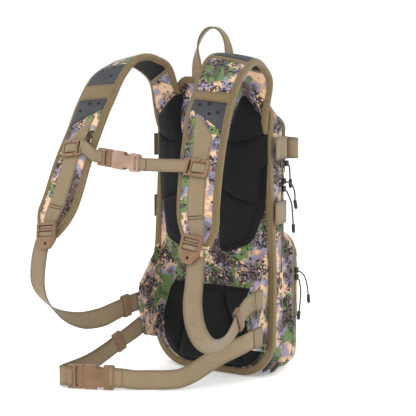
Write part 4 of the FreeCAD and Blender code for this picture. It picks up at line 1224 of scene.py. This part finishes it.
chest = {"sliderStation": {"Right": 8.08, "Left": 7.75}, "sliderWide": 42.0, "webbingWide": 20.0,
         "lift": 10.4,
         "leftEnd": (-66, -221.5, 378), "rightEnd": (20, -221.5, 369), "run": 83.0, "edge": 0.7}
chestHold = {}
for side, sign in (("Right", 1), ("Left", -1)):
    station = chest["sliderStation"][side]
    across = onStrap(station, 0) - onStrap(station, 1)
    down = onStrap(station + 0.3, 0.5) - onStrap(station - 0.3, 0.5)
    chestHold[side] = PartFrame(onStrap(station, 0.5, chest["lift"]), across, down, sign)
    brokenEdges("chest_slider_" + side.lower(), "chest_strap", "buckle_plastic", acetal, chest["edge"], 2,
                edgeMaterial=acetalPaintedEdgeShade)
    # the loop of webbing held in the slider's window, and the two splits it was threaded in by
    hold = chestHold[side]
    layBand("sliderLoop" + side, lambda u, w: hold.at(u, 0, w), hold.way(0, 1, 0),
            ((-15, 0.4), (-13.6, 2.4), (-9, 3.5), (-3, 3.7), (3, 3.5), (7.2, 2.4), (8.6, 0.4)),
            14.5, 1.5, webbing, "chest_strap")
    for u, v, lean in ((-4.0, -11.2, 1.6), (5.0, 11.2, 1.6)):
        corners = [(u - 0.6 - lean, v - 2.3), (u + 0.6 - lean, v - 2.3), (u + 0.6 + lean, v + 2.3),
                   (u - 0.6 + lean, v + 2.3)]
        # painted shade: a near-black quad standing in for the slit
        split = addMesh("sliderSplit%s%d" % (side, u),
                        [hold.at(x, y, w) for w in (2.6, 3.06) for x, y in corners],
                        tubeFaces(2, 4), holeShade)
        place(split, "chest_strap", "buckle_plastic")
chestAlong = unit(np.subtract(chest["rightEnd"], chest["leftEnd"]))
chestUp = unit(np.array([0, 0, 1]) - chestAlong * chestAlong[2])
chestOut = np.cross(chestAlong, chestUp)


def onChest(x, up=0.0, out=0.0):
    return np.array(chest["leftEnd"]) + chestAlong * x + chestUp * up + chestOut * out


def sliderEnd(side, reach, lift):
    return chestHold[side].at(chest["sliderWide"] / 2 + reach, 0, lift)


for nodeName, body in (("chest_buckle_male", "chest_strap"), ("chest_buckle_female", "chest_female"),
                       ("chest_buckle_prong_upper", "chest_prong_upper"),
                       ("chest_buckle_prong_lower", "chest_prong_lower")):
    brokenEdges(nodeName, body, "buckle_plastic", acetal if body == "chest_strap" else acetalPale,
                chest["edge"], 2,
                edgeMaterial=acetalPaintedEdgeShade)
leftAcross = chestHold["Left"].way(0, -1, 0)
rightAcross = chestHold["Right"].way(0, -1, 0)
route = [(sliderEnd("Left", -3.5, 2.4), leftAcross), (sliderEnd("Left", 2.5, 3.8), leftAcross),
         (onChest(-9), chestUp), (onChest(-1.2), chestUp)]
piece = layWebbing("chestWebbingLeft", route, chest["webbingWide"], 1.6, webbing, 8)
place(piece, "chest_strap", "webbing", "chest_webbing_left")
# the male half's bars: webbing over the first, under the second, its cut end folded behind
layBand("chestBarWebbing", lambda x, w: onChest(x, 0, w), chestUp,
        ((-2, -0.4), (1.5, 2.0), (4.6, 3.2), (8.0, 2.0), (9.8, -2.4), (13, -3.4), (16.5, -1.5), (18.6, 1.4),
         (21, -1.2), (22, -3.4)), chest["webbingWide"], 1.3, webbing, "chest_strap")
run = chest["run"]
first = onChest(run + 9)
span = sliderEnd("Right", 1.6, 1.8) - first
sag = [(first + span * t + [0, -2.5 * math.sin(math.pi * t), 0], chestUp) for t in (0.3, 0.6)]
route = [(onChest(run - 1.2), chestUp), (first, chestUp)] + sag
route += [(sliderEnd("Right", 2.2, 2.2), rightAcross), (sliderEnd("Right", -3.5, 1.2), rightAcross)]
piece = layWebbing("chestWebbingRight", route, chest["webbingWide"], 1.6, webbing, 8)
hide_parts("chest_webbing_right")
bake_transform(piece)
# the adjusting end lies doubled on the first stretch beside the female half
layBand("chestTurnWebbing", lambda x, w: onChest(run + x, 0, w), chestUp,
        ((13, 1.9), (7, 2.0), (-1, 2.6), (-5, 3.4), (-9, 2.6), (-10.5, -1)),
        chest["webbingWide"], 1.3, webbing, "chest_female")
print("chest strap made")

belt = {"leftEnd": (-124, -234, 19.5), "rightEnd": (-50, -200, 19.5), "wide": 32.0, "stand": 16.4,
        "edge": 0.8,
        "flat": 113.9}
beltAlong = unit(np.subtract(belt["rightEnd"], belt["leftEnd"]))
beltUp = np.array([0, 0, 1.0])
beltOut = np.cross(beltAlong, beltUp)


def onBelt(x, up=0.0, out=0.0):
    return np.array(belt["leftEnd"]) + beltAlong * x + beltUp * up + beltOut * out


for nodeName, body in (("belt_buckle_male", "pack"), ("belt_buckle_female", "belt_female"),
                       ("belt_buckle_prong_upper", "belt_prong_upper"),
                       ("belt_buckle_prong_lower", "belt_prong_lower")):
    brokenEdges(nodeName, body, "buckle_plastic", acetal, belt["edge"], 2, edgeMaterial=acetalPaintedEdgeShade)
stand, flat = belt["stand"], belt["flat"]
leftRoute = [(onBelt(-1.2), beltUp), (onBelt(-8), beltUp), ((-139, -236, stand + 2), beltUp),
             ((-146, -222, stand + 1), beltUp), ((-150, -198, stand + 1), beltUp),
             ((-150, -172, stand + 3), (0.02, -0.05, 1)), ((-146, -146, stand + 9), (0.06, -0.2, 1)),
             ((-137, -120, stand + 22), (0.1, -0.4, 1)), ((-127, -98, stand + 36), (0.1, -0.5, 1)),
             ((-118.6, -78, 64), (0.05, -0.4, 1)), ((-flat - 0.6, -62, 72), (0, -0.2, 1)),
             ((-flat, -48, 77), (0, -0.15, 1)), ((-flat, -30, 79), (0, 0, 1))]
piece = layWebbing("beltWebbingLeft", leftRoute, 32.0, 1.6, webbing, 8)
place(piece, "pack", "webbing", "belt_webbing_left")
# the adjusting tail runs back inside the first stretch, to the keeper
tailRoute = [(np.array(c, float) + [3.2 * math.cos(0.5), 3.2 * math.sin(0.5), 0.6], a) for c,
             a in leftRoute[1:9]]
place(layWebbing("beltTail", tailRoute, 31.0, 1.4, webbing, 8), "pack", "webbing")
layBand("beltBarWebbing", lambda x, w: onBelt(x, 0, w), beltUp,
        ((-2, -0.6), (0.8, 1.8), (3.8, 3.2), (7.2, 2.2), (9.0, -2.2), (12.0, -3.4), (14.5, -1.6), (16.2, 1.2),
         (18.2, -1.0), (19, -3.2)), 32.0, 1.3, webbing, "pack")
keeper = keeperOn("beltKeeper", np.array(leftRoute[8][0], float),
                  np.subtract(leftRoute[9][0], leftRoute[7][0]),
                  leftRoute[8][1], 32.0, keeperWebbing)
place(keeper, "pack", "webbing", "belt_keeper")
beltRun = 78.0
rightRoute = [(onBelt(beltRun - 0.6), beltUp), (onBelt(beltRun + 10), beltUp), ((-24, -183, stand), beltUp),
              ((-4, -169, stand), beltUp), ((18, -156, stand + 0.5),
                                            beltUp), ((36, -143, stand + 3), (-0.1, -0.1, 1)),
              ((52, -128, stand + 12), (-0.3, -0.3, 1)), ((68, -112, stand + 26), (-0.35, -0.4, 1)),
              ((86, -98, 56), (-0.25, -0.4, 1)), ((103, -86, 66), (-0.1, -0.3, 1)),
              ((112.5, -74, 72), (0, -0.2, 1)), ((flat + 0.6, -62, 75), (0, -0.1, 1)),
              ((flat, -50, 76), (0, -0.1, 1)), ((flat, -28, 78), (0, 0, 1))]
piece = layWebbing("beltWebbingRight", rightRoute, 32.0, 1.6, paleWebbing, 8, ripple=0.4)
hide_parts("belt_webbing_right")
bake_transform(piece)
layBand("beltTurnWebbing", lambda x, w: onBelt(beltRun + x, 0, w), beltUp,
        ((12, 1.9), (6, 2.0), (-1, 2.6), (-5, 3.6), (-9, 2.6), (-10.5, -1)),
        32.0, 1.3, paleWebbing, "belt_female")
for sign, z in ((1, 77), (-1, 79)):
    patch = layWebbing("beltPatch" + ("Right" if sign > 0 else "Left"),
                       [((sign * 115.6, -48, z - 1), (0, 0, 1)), ((sign * 115.7, -36, z), (0, 0, 1)),
                        ((sign * 115.6, -24, z), (0, 0, 1))], 33.0, 1.4, webbing, 6)
    place(patch, "pack", "webbing")
print("waist belt made")

# side compression straps: each upper one ends in a rolled tail, each lower one is folded back
compression = {"wide": 38.0, "thick": 1.6, "upperZ": 385.0, "lowerZ": 278.0,
               "route": [(124.8, 1.0), (125.2, 9.0), (118, 16), (115.2, 30), (114.7, 50), (110.0, 60)],
               "rollAt": (112, 71), "rollOuter": 12.5, "rollInner": 2.6, "turns": 2.9}
for side, sign in (("Right", 1), ("Left", -1)):
    upright = np.array([0, 0, 1.0])
    flatRoute = [((sign * x, y, compression["upperZ"]), upright) for x, y in compression["route"][:-1]]
    cx, cy = compression["rollAt"]
    roll = []
    for t in np.linspace(0, 1, 40):
        angle = math.radians(238) - t * 2 * math.pi * compression["turns"]
        radius = compression["rollOuter"] * (1 - t) + compression["rollInner"] * t
        wobble = 0.35 * noise(Vector((t * 9, sign, 0.3)))
        roll.append(((sign * (cx + (radius + wobble) * math.cos(angle)),
                      cy + (radius + wobble) * math.sin(angle),
                      compression["upperZ"] - 2), upright))
    route = flatRoute + [((sign * 108, 57.5, compression["upperZ"] - 1), upright)] + roll
    shares = np.linspace(0, 1, 12)
    piece = layWebbing("compressionUpper" + side, route, 38.0, 1.5, webbing, 4,
                       (shares, [1.0, 1.0, 1.0] + [0.9] * 9))
    place(piece, "pack", "webbing", "compression_straps_" + side.lower())
    lowerRoute = [((sign * x, y, compression["lowerZ"]), upright) for x, y in compression["route"][:-1]]
    place(layWebbing("compressionLower" + side, lowerRoute, 38.0, 1.6, webbing, 6), "pack", "webbing")
    foldRoute = [((sign * 115.6, 43, 278), upright), ((sign * 117.6, 39, 278), upright),
                 ((sign * 119.5, 31, 278), upright),
                 ((sign * 122.5, 17, 278), upright), ((sign * 124.0, 11.5, 278), upright)]
    place(layWebbing("compressionFold" + side, foldRoute, 38.0, 1.6, webbing, 6), "pack", "webbing")
print("compression straps made")

# zippers: coated tape laid on the bag round each opening, with its coil along the middle
zippers = {"main_zipper": {"bag": "main_compartment", "from": 40.0, "to": 48.0, "above": 170},
           "upper_zipper": {"bag": "upper_pocket", "from": 75.0, "to": 83.0, "above": 340},
           "lower_zipper": {"bag": "lower_pocket", "from": 86.0, "to": 104.0, "above": 90}}


def layOnBag(name, bagName, y0, y1, above, lift, crown, material, edgeLift=0.15, columns=7, end=None):
    bag, surface = bags[bagName], bagSurfaces[bagName]
    outline = roundedOutline(sectionAt(bag["sections"], (y0 + y1) / 2), 260)
    outward = outwardOf(outline)
    start = int(np.argmin(outline[:, 1] + 1000 * (outline[:, 0] < 0)))
    order = np.roll(np.arange(len(outline)), -start)
    run = [i for i in order if outline[i, 1] > above]
    if end is not None:
        run = [i for i in run if outline[i, 0] > 0 and outline[i, 1] < end]
    verts, uvs = [], []
    steps = runLengths(outline[run])
    for i, s in zip(run, steps):
        top, bottom = [], []
        for k, y in enumerate(np.linspace(y0, y1, columns)):
            direction = np.array([outward[i, 0], 0, outward[i, 1]])
            hit, normal = meet(surface, (outline[i, 0], y, outline[i, 1]), direction)
            bulge = math.sin(math.pi * k / (columns - 1))
            top.append((hit + normal * (edgeLift + lift + crown * bulge), y))
            bottom.append((hit + normal * (lift - 0.6), y))
        for spot, y in top + bottom[::-1]:
            verts.append(spot)
            uvs.append((y, s))
    return addMesh(name, verts, tubeFaces(len(run), 2 * columns), material, uvs)


for nodeName, zipper in zippers.items():
    piece = layOnBag(nodeName + "Tape", zipper["bag"], zipper["from"], zipper["to"], zipper["above"], 0.3,
                     0.7, zipTape)
    place(piece, "pack", "zipper_tape", nodeName)
    middle = (zipper["from"] + zipper["to"]) / 2
    piece = layOnBag(nodeName + "Coil", zipper["bag"], middle - 1.6, middle + 1.6, zipper["above"], 0.7,
                     1.0, zipCoil)
    place(piece, "pack", "zipper_tape")
    # canvas welts beside the tape
    for k, y in enumerate((zipper["from"] - 2.2, zipper["to"] + 2.2)):
        welt = layOnBag(nodeName + "Welt%d" % k, zipper["bag"], y - 1.8, y + 1.8, zipper["above"], 0.2, 1.3,
                        canvas, columns=6)
        place(welt, "pack", "camo_fabric")
for nodeName, body in (("main_slider_upper", None), ("main_slider_lower", None), ("upper_slider", None),
                       ("lower_slider_upper", None), ("lower_slider_lower", None)):
    brokenEdges(nodeName, nodeName, "black_plastic", blackNylon, 1.3, 3)
print("zippers made")

# lash straps round the lower corners, each through two three-bar buckles
lash = {"x": 97.0, "wide": 20.0, "stops": (12, 21, 30, 40, 50, 54)}


def baseCorner(y, off):
    (half, base, radius) = sectionAt(bags["main_compartment"]["sections"], y)[0]
    centre = np.array([half - radius, y, base + radius])
    spot = np.array([lash["x"], y, centre[2] - math.sqrt(radius ** 2 - (lash["x"] - centre[0]) ** 2)])
    normal = unit(spot - centre)
    return spot + normal * off, np.array([-normal[2], 0, normal[0]])


for side, sign in (("Right", 1), ("Left", -1)):
    route = [baseCorner(y, 2.9) for y in lash["stops"]]
    route = [(c * [sign, 1, 1], a * [sign, 1, 1]) for c, a in route]
    piece = layWebbing("lashStrap" + side, route, lash["wide"], 1.4, webbing, 6)
    place(piece, "pack", "webbing")
    if side == "Right":
        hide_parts("lash_straps")
brokenEdges("lash_buckles", "pack", "black_plastic", blackNylon, 0.4, 2)
print("lash straps made")

for nodeName, finish in (("frame_sheet", hdpeSheet), ("hydration_sleeve", taffeta)):
    mesh = frame["nodes"][nodeName].data
    mesh.materials.clear()
    mesh.materials.append(finish)

for thread, stitches in stitchRuns.items():
    verts = np.array(stitches).reshape(-1, 3)
    faces = []
    for k in range(0, len(verts), 5):
        faces += [(k, k + 1, k + 4), (k + 1, k + 2, k + 4), (k + 2, k + 3, k + 4), (k + 3, k, k + 4),
                  (k, k + 3, k + 2, k + 1)]
    piece = addMesh("stitching" + thread.capitalize(), verts, faces,
                    bondedThread if thread == "tan" else darkThread)
    place(piece, "pack", "binding_tape" if thread == "tan" else "mesh_pad")
    print("stitches:", thread, len(stitches))
